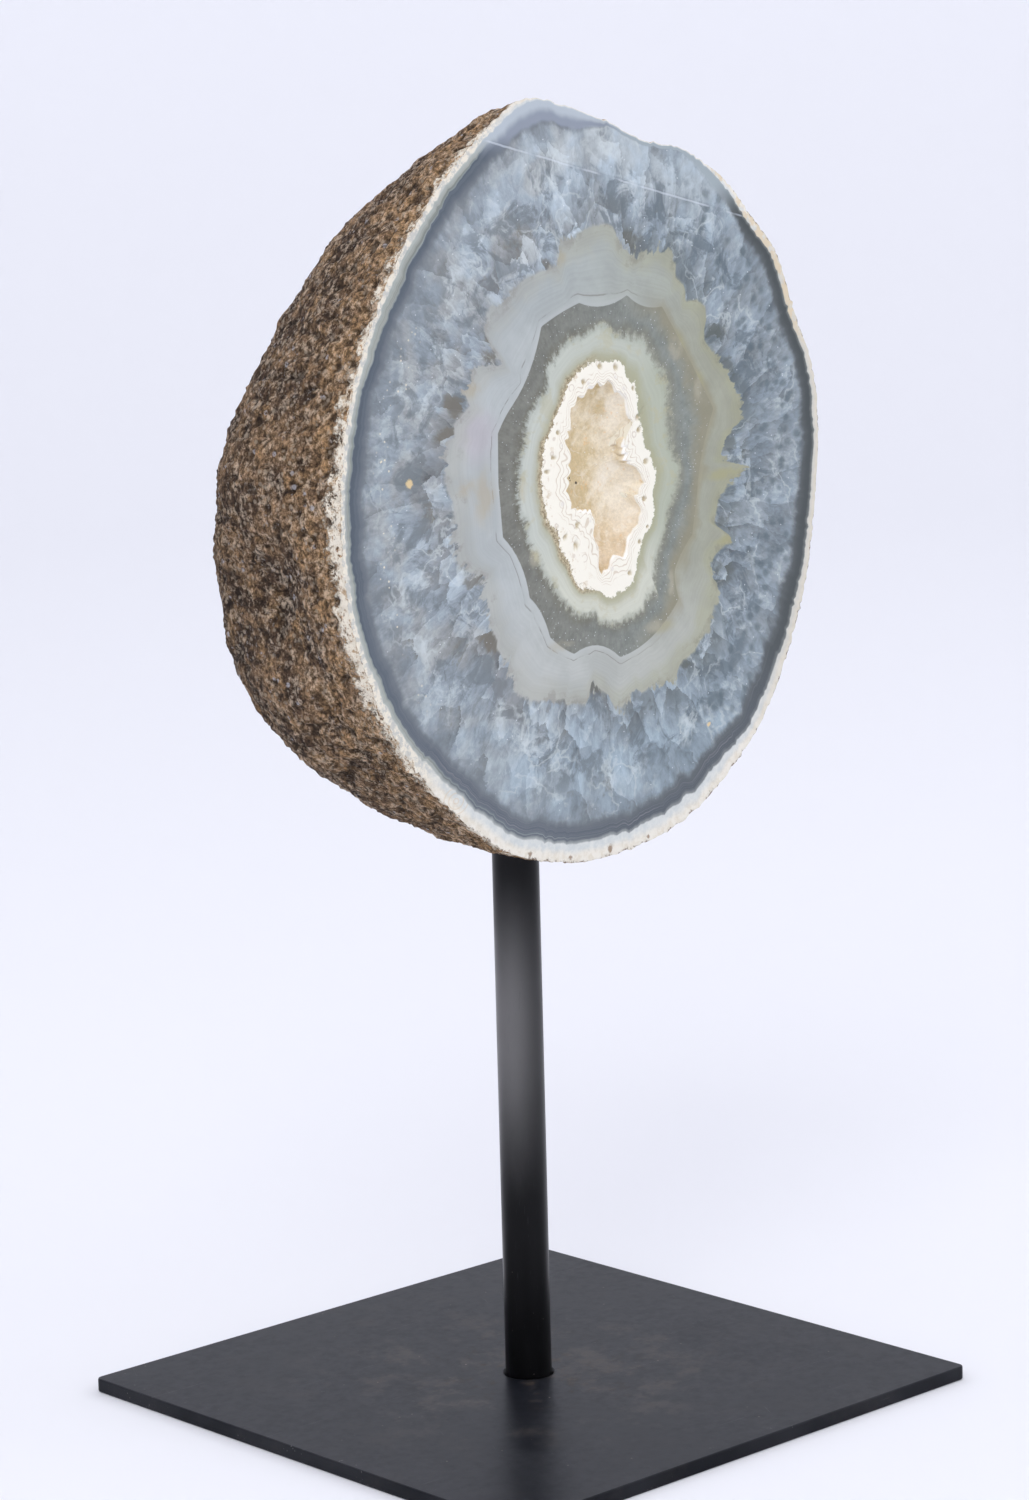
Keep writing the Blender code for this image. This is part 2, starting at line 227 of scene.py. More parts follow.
class Channel:
    """A socket's output that adds its own Math nodes when it is used in a sum."""

    def __init__(self, finish, socket):
        self.finish = finish
        self.socket = socket

    def math(self, operation, *others):
        return self.finish.node("ShaderNodeMath", {"operation": operation}, dict(enumerate(others)))

    __add__ = math_method("ADD")
    __radd__ = math_method("ADD", swapped=True)
    __sub__ = math_method("SUBTRACT")
    __rsub__ = math_method("SUBTRACT", swapped=True)
    __mul__ = math_method("MULTIPLY")
    __rmul__ = math_method("MULTIPLY", swapped=True)
    __truediv__ = math_method("DIVIDE")
    __rtruediv__ = math_method("DIVIDE", swapped=True)
    __pow__ = math_method("POWER")
    larger = math_method("MAXIMUM")

    def __abs__(self):
        return self.math("ABSOLUTE", self)

    def fraction(self):
        return self.math("FRACT", self)


class Finish:
    """A material that is painted with nodes, in millimetres of the piece's own space."""

    def __init__(self, name, roughness, metallic=0.0, **uniform):
        self.material = bpy.data.materials.new(name)
        self.material.use_nodes = True
        self.tree = self.material.node_tree
        self.shader = self.tree.nodes["Principled BSDF"]
        self.shader.inputs["Roughness"].default_value = roughness
        self.shader.inputs["Metallic"].default_value = metallic
        for socket, value in uniform.items():
            self.shader.inputs[socket.replace("_", " ")].default_value = value

    def node(self, kind, settings=None, sockets=None, out=0):
        made = self.tree.nodes.new(kind)
        for name, value in (settings or {}).items():
            setattr(made, name, value)
        for name, value in (sockets or {}).items():
            socket = made.inputs[name]
            if isinstance(value, Channel):
                self.tree.links.new(value.socket, socket)
            elif socket.type == "RGBA":
                socket.default_value = (*value[:3], 1.0)
            else:
                socket.default_value = value
        return Channel(self, made.outputs[out])

    def set(self, socket, channel):
        self.tree.links.new(channel.socket, self.shader.inputs[socket])

    def place(self):
        """The point's place in millimetres."""
        metres = self.node("ShaderNodeTexCoord", out="Object")
        return self.node("ShaderNodeVectorMath", {"operation": "SCALE"}, {0: metres, "Scale": 1 / MM})

    def split(self, vector):
        made = self.node("ShaderNodeSeparateXYZ", None, {0: vector})
        return [Channel(self, made.socket.node.outputs[axis]) for axis in "XYZ"]

    def join(self, x, y, z):
        return self.node("ShaderNodeCombineXYZ", None, {"X": x, "Y": y, "Z": z})

    def attribute(self, name):
        return self.node("ShaderNodeAttribute", {"attribute_name": name}, out="Fac")

    def step(self, channel, low, high, start=0.0, end=1.0):
        """Goes smoothly from start to end as the channel goes from low to high."""
        return self.node(
            "ShaderNodeMapRange", {"interpolation_type": "SMOOTHSTEP"},
            {"Value": channel, "From Min": low, "From Max": high, "To Min": start, "To Max": end},
        )

    def grain(self, vector, size, detail=3.0, roughness=0.5, distortion=0.0):
        return self.node(
            "ShaderNodeTexNoise", None,
            {"Vector": vector, "Scale": 1 / size, "Detail": detail, "Roughness": roughness,
             "Distortion": distortion},
        )

    def patches(self, vector, low, high, *grain):
        """0 where the grain is below low, 1 where it is above high."""
        return self.step(self.grain(vector, *grain), low, high)

    def cells(self, vector, size, out="Distance"):
        return self.node("ShaderNodeTexVoronoi", None, {"Vector": vector, "Scale": 1 / size}, out=out)

    def cell_tone(self, vector, size):
        """A number from 0 to 1 that is the same all over each cell."""
        return self.split(self.cells(vector, size, out="Color"))[0]

    def facets(self, vector, size):
        """Slopes along X, Y and Z across each cell, so that the cells meet at sharp edges."""
        ends = {0: vector, 1: self.cells(vector, size, out="Position")}
        return self.split(self.node("ShaderNodeVectorMath", {"operation": "SUBTRACT"}, ends))

    def mix(self, factor, first, second, blend="MIX"):
        return self.node(
            "ShaderNodeMix", {"data_type": "RGBA", "blend_type": blend},
            {0: factor, 6: first, 7: second}, out=2,
        )

    def shade(self, colour, amount):
        """The colour times a number."""
        return self.mix(1.0, colour, self.join(amount, amount, amount), "MULTIPLY")

    def ridge(self, vector, size, detail, distortion):
        """Rises to 1 along thin curving lines."""
        return 1 - abs(self.grain(vector, size, detail, 0.5, distortion) * 2 - 1)

    def specks(self, vector, size, radius, share):
        """1 in small round specks, in this share of the cells of this size."""
        near = self.step(self.cells(vector, size), radius / size, 0.6 * radius / size)
        return near * self.step(self.cell_tone(vector, size), 1 - share, 1.02 - share)

    def bump(self, height, distance, strength):
        sockets = {"Height": height, "Distance": distance, "Strength": strength}
        self.set("Normal", self.node("ShaderNodeBump", None, sockets))


class Coat:
    """A colour that is built up on a finish, one layer over the other."""

    def __init__(self, finish, colour):
        self.finish = finish
        self.colour = colour

    def lay(self, mask, colour):
        """Covers the coat with the colour where the mask is 1."""
        self.colour = self.finish.mix(mask, self.colour, colour)

    def shade(self, amount):
        self.colour = self.finish.shade(self.colour, amount)


def closed_curve(points, steps=12):
    """Points along the smooth closed curve through the given ones."""
    count = len(points)
    curve = []
    for i in range(count):
        before, start, end, after = (Vector(points[(i + k) % count]) * MM for k in (-1, 0, 1, 2))
        for step in range(steps):
            t = step / steps
            curve.append(
                0.5 * (2 * start + (end - before) * t
                       + (2 * before - 5 * start + 4 * end - after) * t * t
                       + (3 * start - before - 3 * end + after) * t ** 3)
            )
    return curve


def jagged_curve(points):
    """The same corners, joined by straight lines."""
    return [Vector(point) * MM for point in points]


def scalloped_curve(cusps, steps=8):
    """Arcs from cusp to cusp that bulge towards the hollow's middle."""
    middle = Vector(HOLLOW_MIDDLE)
    curve = []
    for i, (x, z, bulge) in enumerate(cusps):
        start = Vector((x, z)) * MM
        end = Vector(cusps[(i + 1) % len(cusps)][:2]) * MM
        inward = (middle - (start + end) / 2).normalized()
        for step in range(steps):
            t = step / steps
            curve.append(start.lerp(end, t) + inward * bulge * MM * 4 * t * (1 - t))
    return curve


def read_round(rays):
    """A function that reads a value at any angle from (angle, value) pairs."""
    rays = sorted(rays)
    rays = [(rays[-1][0] - 2 * pi, rays[-1][1]), *rays, (rays[0][0] + 2 * pi, rays[0][1])]
    angles = [ray[0] for ray in rays]

    def read(angle):
        angle %= 2 * pi
        after = min(max(bisect_right(angles, angle), 1), len(rays) - 1)
        (low, near), (high, far) = rays[after - 1], rays[after]
        return near + (far - near) * (angle - low) / max(high - low, 1e-9)

    return read


def radius_by_angle(curve, middle):
    """The distance from the middle to the closed curve, as a function of the angle."""
    rays = []
    for point in curve:
        across, up = point.x - middle[0], point.y - middle[1]
        rays.append((atan2(up, across) % (2 * pi), hypot(across, up)))
    return read_round(rays)


def mouth_by_angle():
    """The mouth's radius: small round lobes that meet in cusps."""
    smooth = radius_by_angle(closed_curve(MOUTH), HOLLOW_MIDDLE)

    def read(turn, dip=0.0):
        """The lobes fade out as the hollow's wall dips away from the mouth."""
        share = 1 - smooth_step(dip, 0.2, 0.9)
        plain = sum(smooth(turn + 0.12 * k) for k in range(-4, 5)) / 9
        along = turn + 0.13 * sin(3 * turn) + 0.05 * sin(8 * turn)
        steepness = (smooth(turn + 0.03) - smooth(turn - 0.03)) / (0.06 * plain)
        depth = 1.1 + 0.6 * noise.noise(Vector((cos(turn) * 3, sin(turn) * 3, 6)))
        depth /= 1 + 6 * steepness ** 2
        lobe = depth * MM * ((1 - abs(sin(MOUTH_LOBES / 2 * along))) * 1.6 - 0.6)
        return plain + (smooth(turn) + lobe - plain) * share

    return read


def width_by_angle(widths):
    return read_round([(radians(turn), width * MM) for turn, width in widths])


def new_object(name, code, materials):
    """Turns the closed skin into a smooth object, its faces outwards."""
    bmesh.ops.recalc_face_normals(code, faces=code.faces)
    mesh = bpy.data.meshes.new(name)
    code.to_mesh(mesh)
    code.free()
    mesh.shade_smooth()
    for material in materials:
        mesh.materials.append(material)
    made = bpy.data.objects.new(name, mesh)
    bpy.context.scene.collection.objects.link(made)
    return made


def new_piece(name, code, materials, *nodes, slot):
    """A piece of the thing itself, which may stand in for nodes of the frame."""
    piece = new_object(name, code, materials)
    piece.data.set_sharp_from_angle(angle=SHARP_EDGE)
    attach(piece, "root")
    if nodes:
        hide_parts(*nodes)
    return piece


def turned(profile, turns, axis):
    """A closed skin: the profile, which starts and ends on the axis, spun all round."""
    code = bmesh.new()
    points = [code.verts.new(point) for point in profile]
    edges = [code.edges.new(pair) for pair in zip(points, points[1:])]
    bmesh.ops.spin(
        code, geom=points + edges, cent=(0, 0, 0), axis=axis, angle=2 * pi, steps=turns,
        use_merge=True,
    )
    bmesh.ops.remove_doubles(code, verts=code.verts, dist=MERGE_DISTANCE)
    return code


def sphere_profile(dips):
    """Points of a unit half circle in the XY plane at these dips, from the back pole."""
    return [(cos(dip) if abs(dip) < pi / 2 - 1e-6 else 0.0, sin(dip), 0.0) for dip in dips]


def turn_and_dip(point):
    return atan2(point.z, point.x), atan2(point.y, hypot(point.x, point.z))


def direction(turn, dip):
    return Vector((cos(dip) * cos(turn), sin(dip), cos(dip) * sin(turn)))


def direction_on_floor(turn):
    return Vector((cos(turn), sin(turn), 0))


def swell(ray, dip):
    total = 0.0
    for swell_turn, swell_dip, spread, height in BACK_SWELLS:
        apart = ray.angle(direction(radians(swell_turn), radians(swell_dip)), 0.0)
        total += height * exp(-(apart / radians(spread)) ** 2)
    return total * min(dip / SWELL_ONSET, 1.0)


def smooth_step(value, low, high):
    t = min(max((value - low) / (high - low), 0.0), 1.0)
    return t * t * (3 - 2 * t)


def chip_depth(x, z):
    """How far the chip lies behind the face at this place, and 0 below its line."""
    (left, left_up), (right, right_up) = CHIP_LINE
    length = hypot(right - left, right_up - left_up)
    past = ((right - left) * (z - left_up) - (right_up - left_up) * (x - left)) / length
    return max(0.0, past) * tan(radians(CHIP_TILT))


def rind_relief(place):
    """The rind's height over the smooth back, and how deep in a pit the point lies, for painted shade
    in the pits.
    """
    lump_size = 13 * MM
    lumps = noise.noise(place / lump_size) + 0.5 * noise.noise(place * 2.3 / lump_size)
    grains = noise.noise(place / (2.6 * MM))
    fine = noise.noise(place / (1.4 * MM) + Vector((7, 3, 1)))
    hole = smooth_step(noise.noise(place / (3.4 * MM) + Vector((2, 9, 4))), 0.12, 0.5)
    height = 1.1 * MM * lumps + 0.45 * MM * grains + 0.5 * MM * fine - 0.9 * MM * hole
    return height, min(1.0, max(0.0, 0.5 * hole + 0.5 - 0.6 * grains - 0.45 * fine))


def in_patches(patches, x, z):
    """How far into any of the patches a point of the face lies, from 0 to 1."""
    inside = 0.0
    for middle_x, middle_z, half_width, half_height in patches:
        off = hypot((x / MM - middle_x) / half_width, (z / MM - middle_z) / half_height)
        if off < 2:
            inside = max(inside, exp(-0.7 * off ** 2))
    return inside


def hole_depth(x, z):
    """How deep in one of the lace's small holes a point lies, from 0 to 1."""
    deepest = 0.0
    for hole_x, hole_z, radius in LACE_HOLES:
        off = hypot(x / MM - hole_x, z / MM - hole_z) / radius
        deepest = max(deepest, smooth_step(off, 1.25, 0.7))
    return deepest


def face_spokes():
    """A function that says where the face's edge and each band lie at a turn."""
    edge_radius = radius_by_angle(closed_curve(FACE_OUTLINE), (0, STONE_MIDDLE_HEIGHT))
    curves = [jagged_curve(LACE_EDGE), closed_curve(NEEDLE_ROOTS), scalloped_curve(SCALLOP_CUSPS),
              jagged_curve(QUARTZ_EDGE)]
    outlines = [mouth_by_angle()] + [radius_by_angle(curve, HOLLOW_MIDDLE) for curve in curves]
    skin = width_by_angle(SKIN_WIDTH)
    dark = width_by_angle(DARK_BAND_WIDTH)
    spokes = {}

    def spoke(turn):
        """The face's edge at this turn, and each outline's distance from the hollow."""
        key = round(turn * STONE_TURNS / (2 * pi)) % STONE_TURNS
        if key not in spokes:
            edge = edge_radius(turn)
            chips = noise.noise(Vector((cos(turn) * 30, sin(turn) * 30, 5)))
            nibbles = noise.noise(Vector((cos(turn) * 85, sin(turn) * 85, 9)))
            edge += (0.5 * chips + 0.75 * nibbles) * MM - 1.2 * MM * max(0, chips - 0.3)
            point = STONE_MIDDLE + direction(turn, 0) * edge
            across, up = point.x - HOLLOW_MIDDLE[0], point.z - HOLLOW_MIDDLE[1]
            angle = atan2(up, across)
            rim = hypot(across, up)
            ripple = noise.noise(Vector((cos(turn) * 12, sin(turn) * 12, 2)))
            fringe = noise.noise(Vector((cos(turn) * 40, sin(turn) * 40, 3)))
            skin_width = skin(turn) * (1 + 0.22 * ripple + 0.07 * fringe)
            dark_width = dark(turn) * (1 + 0.18 * ripple)
            levels = [rim, rim - skin_width, rim - skin_width - dark_width]
            for outline in reversed(outlines):
                levels.append(min(outline(angle), levels[-1] - LEAST_BAND_WIDTH))
            spokes[key] = (angle, levels[::-1], edge)
        return spokes[key]

    return spoke


def make_stone():
    """The whole stone as one skin: rind, polished face and the bowl under the crust."""
    front_levels = []
    for outer, count in LAYER_RINGS:
        front_levels += [outer - k / count for k in range(count)]
    front_levels.append(0.0)
    face_rings = len(front_levels) - 1
    front_rings = face_rings + BOWL_RINGS
    back_dips = [pi / 2 * (1 - k / BACK_RINGS) for k in range(BACK_RINGS)]
    front_dips = [-pi / 2 * k / front_rings for k in range(front_rings + 1)]
    code = turned(sphere_profile(back_dips + front_dips), STONE_TURNS, (0, 1, 0))

    spoke = face_spokes()
    names = ("band", "pit_shade", "hole", "smoke", "honey")
    layers = {name: code.verts.layers.float.new(name) for name in names}
    ring_step = pi / 2 / front_rings
    for vertex in code.verts:
        turn, dip = turn_and_dip(vertex.co)
        angle, levels, edge = spoke(turn)
        if dip > MERGE_DISTANCE:
            ray = direction(turn, dip)
            reach = ((abs(cos(dip)) / edge) ** STONE_FULLNESS
                     + (abs(sin(dip)) / STONE_DEPTH) ** STONE_FULLNESS) ** (-1 / STONE_FULLNESS)
            place = STONE_MIDDLE + ray * reach * (1 + swell(ray, dip))
            height, pit_shade = rind_relief(place)
            settle = smooth_step(place.y - FACE_Y, 0, 3 * MM)
            place += ray * height * (0.5 + 0.5 * settle)
            place.y += chip_depth(place.x, place.z) * exp(-(place.y - FACE_Y) / (8 * MM))
            vertex[layers["band"]] = FACE_EDGE_BAND + (place.y - FACE_Y) / RIND_STRETCH
            vertex[layers["pit_shade"]] = pit_shade
        else:
            ring = round(-dip / ring_step)
            if ring <= face_rings:
                level = front_levels[ring]
                low = min(int(level), FACE_EDGE_BAND - 1)
                reach = levels[low] + (levels[low + 1] - levels[low]) * (level - low)
                depth = 0.0
            else:
                level = -(ring - face_rings) / BOWL_RINGS
                wall = levels[0] + BOWL_EXTRA_RADIUS
                reach = wall * abs(cos(level * pi / 2)) ** HOLLOW_WALL_SHAPE
                depth = (HOLLOW_DEPTH + BOWL_EXTRA_DEPTH) * sin(-level * pi / 2)
            x = HOLLOW_MIDDLE[0] + reach * cos(angle)
            z = HOLLOW_MIDDLE[1] + reach * sin(angle)
            hole = hole_depth(x, z) if 0 < level < LACE_ENDS else 0.0
            y = FACE_Y + depth + chip_depth(x, z) + PINHOLE_DEPTH * hole
            place = Vector((x, y, z))
            vertex[layers["band"]] = level
            vertex[layers["hole"]] = hole
            vertex[layers["smoke"]] = in_patches(SMOKY_POCKETS, x, z)
            vertex[layers["honey"]] = in_patches(HONEY_STAINS, x, z)
        vertex.co = place
    band = layers["band"]
    for face in code.faces:
        on_rind = min(vertex[band] for vertex in face.verts) >= FACE_EDGE_BAND - 1e-4
        face.material_index = 0 if on_rind else 1
    finishes = [nodule_rind(), polished_agate()]
    return new_piece("agate_nodule", code, finishes, "stone", slot="agate")


def bowl_point(turn, dip, edge, depth):
    """A point of the steep-walled bowl, whose mouth has this radius at this turn."""
    across = edge * abs(cos(dip)) ** HOLLOW_WALL_SHAPE
    x = HOLLOW_MIDDLE[0] + across * cos(turn)
    z = HOLLOW_MIDDLE[1] + across * sin(turn)
    return Vector((x, FACE_Y + depth * sin(dip), z))


def crystal_lumps(mouth_radius):
    """The places and radii of the crust's rounded lumps and of the beads at its rim."""
    draw = Random(11)
    lumps = []
    # How many lumps of each size there are, and their radii in millimetres.
    for count, low, high in ((30, 3.4, 5.6), (110, 1.6, 2.8), (320, 0.7, 1.4)):
        for _ in range(count):
            turn = draw.uniform(0, 2 * pi)
            dip = pi / 2 * draw.uniform(0.1, 1) ** 0.8
            lumps.append((bowl_point(turn, dip, mouth_radius(turn), HOLLOW_DEPTH),
                          draw.uniform(low, high) * MM))
    # The beads' X, height and radius in millimetres.
    beads = [(-8.6, 292.8, 2.2), (-0.3, 281.5, 1.5), (2.8, 272.3, 1.6), (8, 270.2, 2.2),
             (12, 270.7, 1.8), (13, 324, 2.4), (16, 318, 2.6), (13.5, 311, 2.2), (16.5, 304, 2.4)]
    for x, z, radius in beads:
        lumps.append((Vector((x * MM, FACE_Y + 1.8 * MM, z * MM)), radius * MM))
    return lumps


def make_crust():
    """The lining of cream crystal lumps, with the white beads just inside the mouth."""
    mouth_radius = mouth_by_angle()
    lumps = crystal_lumps(mouth_radius)
    largest = max(radius for spot, radius in lumps)
    tree = KDTree(len(lumps))
    for index, (spot, radius) in enumerate(lumps):
        tree.insert(spot, index)
    tree.balance()

    hollow_middle = Vector((HOLLOW_MIDDLE[0], FACE_Y, HOLLOW_MIDDLE[1]))
    ring = pi / CRUST_RINGS
    dips = [pi / 2 - ring * k for k in range(CRUST_RINGS + 1)]
    code = turned(sphere_profile(dips), CRUST_TURNS, (0, 1, 0))
    sunk_layer = code.verts.layers.float.new("sunk")
    for vertex in code.verts:
        turn, dip = turn_and_dip(vertex.co)
        if dip > -1e-6:
            radius = mouth_radius(turn, dip) + CRUST_EXTRA_RADIUS
            place = bowl_point(turn, dip, radius, HOLLOW_DEPTH + CRUST_THICKNESS)
            place.y += CRUST_SET_BACK
            sunk = 0.0
        else:
            inner = max(0.0, (-dip - ring) * (pi / 2) / (pi / 2 - ring))
            place = bowl_point(turn, inner, mouth_radius(turn, inner), HOLLOW_DEPTH)
            inward = (hollow_middle - place).normalized()
            rise = 0.0
            for _, index, off in tree.find_range(place, largest):
                radius = lumps[index][1]
                if off < radius:
                    rise = max(rise, 0.2 * radius * sqrt(1 - (off / radius) ** 2))
            place += inward * rise * smooth_step(place.y - FACE_Y, 0, 1.0 * MM)
            place.y = max(place.y, FACE_Y + CRUST_SET_BACK)
            sunk = (place.y - FACE_Y) / HOLLOW_DEPTH
        vertex.co = place
        vertex[sunk_layer] = sunk
    return new_piece("hollow_crust", code, [hollow_crystal()], "vug_crust", slot="crystal")


def seen(red, green, blue):
    """The colour a polished surface needs to look like this tone in the studio."""
    tone = zip((red, green, blue), STUDIO_GAIN)
    return tuple(max(part - STUDIO_GLOSS, 0.002) / gain for part, gain in tone)


def nodule_rind():
    """Brown, pitted and sandy, with a cream crystal fringe towards the cut."""
    f = Finish("nodule_rind", 0.9, Specular_IOR_Level=0.25)
    place = f.place()
    z = f.split(place)[2]
    pit_shade = f.attribute("pit_shade")
    behind = (f.attribute("band") - FACE_EDGE_BAND) * (RIND_STRETCH / MM)
    patch = f.grain(place, 15, 5, 0.65)
    gold = f.grain(place, 8, 5, 0.7)
    sand = f.grain(place, 1.7, 5, 0.8)
    crumbs = f.grain(place, 3.4, 5, 0.8)
    near_cut = f.step(behind + gold * 10, 36, 6)
    paler = f.step(patch + near_cut * 0.1, 0.42, 0.6)
    coat = Coat(f, f.mix(paler, (0.080, 0.048, 0.029), (0.27, 0.168, 0.092)))
    coat.lay(f.step(gold + near_cut * 0.12, 0.5, 0.66) * 0.7, (0.41, 0.25, 0.12))
    coat.lay(f.step(crumbs, 0.5, 0.62) * 0.6, (0.47, 0.385, 0.29))
    # Sand grain tone, and painted shade that darkens the rind far behind the cut, towards its
    # silhouette.
    coat.shade(f.step(sand, 0.38, 0.62, 0.34, 2.0) * f.step(behind + gold * 20, 50, 85, 1.1, 0.72))
    # Painted shade: darker where the point lies deep in a pit.
    coat.lay(f.step(pit_shade, 0.6, 0.95) * 0.75, (0.024, 0.014, 0.009))
    coat.lay(f.specks(place, 2.0, 0.85, 0.30) * 0.55, (0.60, 0.49, 0.36))
    # Small dark specks: painted shade of tiny pits.
    coat.lay(f.specks(place, 2.7, 0.85, 0.28) * 0.65, (0.036, 0.021, 0.012))
    pale_bits = f.patches(place, 0.57, 0.66, 1.5, 4, 0.8) * f.patches(place, 0.5, 0.62, 10, 3)
    coat.lay(pale_bits * 0.8, (0.66, 0.59, 0.54))
    coat.lay(f.specks(place, 3.2, 1.0, 0.13) * f.step(sand, 0.40, 0.55) * 0.85, (0.66, 0.64, 0.67))

    middle_height = f.step(abs(z - 270), 75, 20)
    fringe_width = middle_height * 3.2 + 2.0
    ragged = (f.grain(place, 5.5, 5, 0.8) - 0.5) * 22 + (crumbs - 0.5) * 14
    fringe = f.step(behind + ragged, fringe_width + 0.8, fringe_width - 0.8)
    chalk = f.mix(f.step(sand, 0.30, 0.46), (0.60, 0.44, 0.28), (0.98, 0.91, 0.76))
    chalk = f.mix(f.step(crumbs, 0.47, 0.40) * 0.7, chalk, (0.46, 0.29, 0.14))
    broken = f.step(f.grain(place, 3.0, 4, 0.75) + (fringe_width - 2) * 0.02, 0.43, 0.50)
    coat.lay(fringe * broken * 0.95, chalk)
    f.set("Base Color", coat.colour)
    f.bump((sand + f.grain(place, 0.5, 2) * 0.5 + crumbs * 0.8) * (1 - fringe * 0.65), 0.002, 1.0)
    return f.material


class FaceMap:
    """Where a point of the cut face lies, for the layers of the polished agate."""

    def __init__(self, finish):
        f = self.finish = finish
        self.place = f.place()
        self.x, _, self.z = f.split(self.place)
        self.band = f.attribute("band")
        across = self.x - HOLLOW_MIDDLE[0] / MM
        up = self.z - HOLLOW_MIDDLE[1] / MM
        self.reach = (across * across + up * up) ** 0.5
        self.east = across / self.reach
        self.north = up / self.reach
        self.right = f.step(self.x, -45, 60)
        self.low = f.step(self.z, 250, 205)
        self.wander = f.grain(self.place, 6, 4, 0.6) - 0.5
        self.needles = f.grain(self.rays(46, 0.22), 1.0, 3, 0.65)
        self.honey = f.attribute("honey") * f.step(self.wander, -0.2, 0.1, 0.55, 1.0)
        slope = (CHIP_LINE[1][1] - CHIP_LINE[0][1]) / (CHIP_LINE[1][0] - CHIP_LINE[0][0])
        self.past_chip = self.z - CHIP_LINE[0][1] / MM - (self.x - CHIP_LINE[0][0] / MM) * slope

    def rays(self, fineness, stretch):
        """Coordinates whose patterns run outwards from the hollow."""
        return self.finish.join(self.east * fineness, self.reach * stretch, self.north * fineness)

    def rings(self, fineness, wobble):
        """Coordinates whose patterns run round the hollow, along the bands."""
        return self.finish.join(self.band * fineness, self.east * wobble, self.north * wobble)

    def wavy(self, amount):
        """The band value, for edges that wander by this much."""
        return self.band + self.wander * amount

    def tone(self, left, right):
        """A colour that goes over from one tone at the left to another at the right."""
        return self.finish.mix(self.right, seen(*left), seen(*right))

    def distance(self, x, z):
        """Millimetres from this spot of the face."""
        return ((self.x - x) ** 2 + (self.z - z) ** 2) ** 0.5


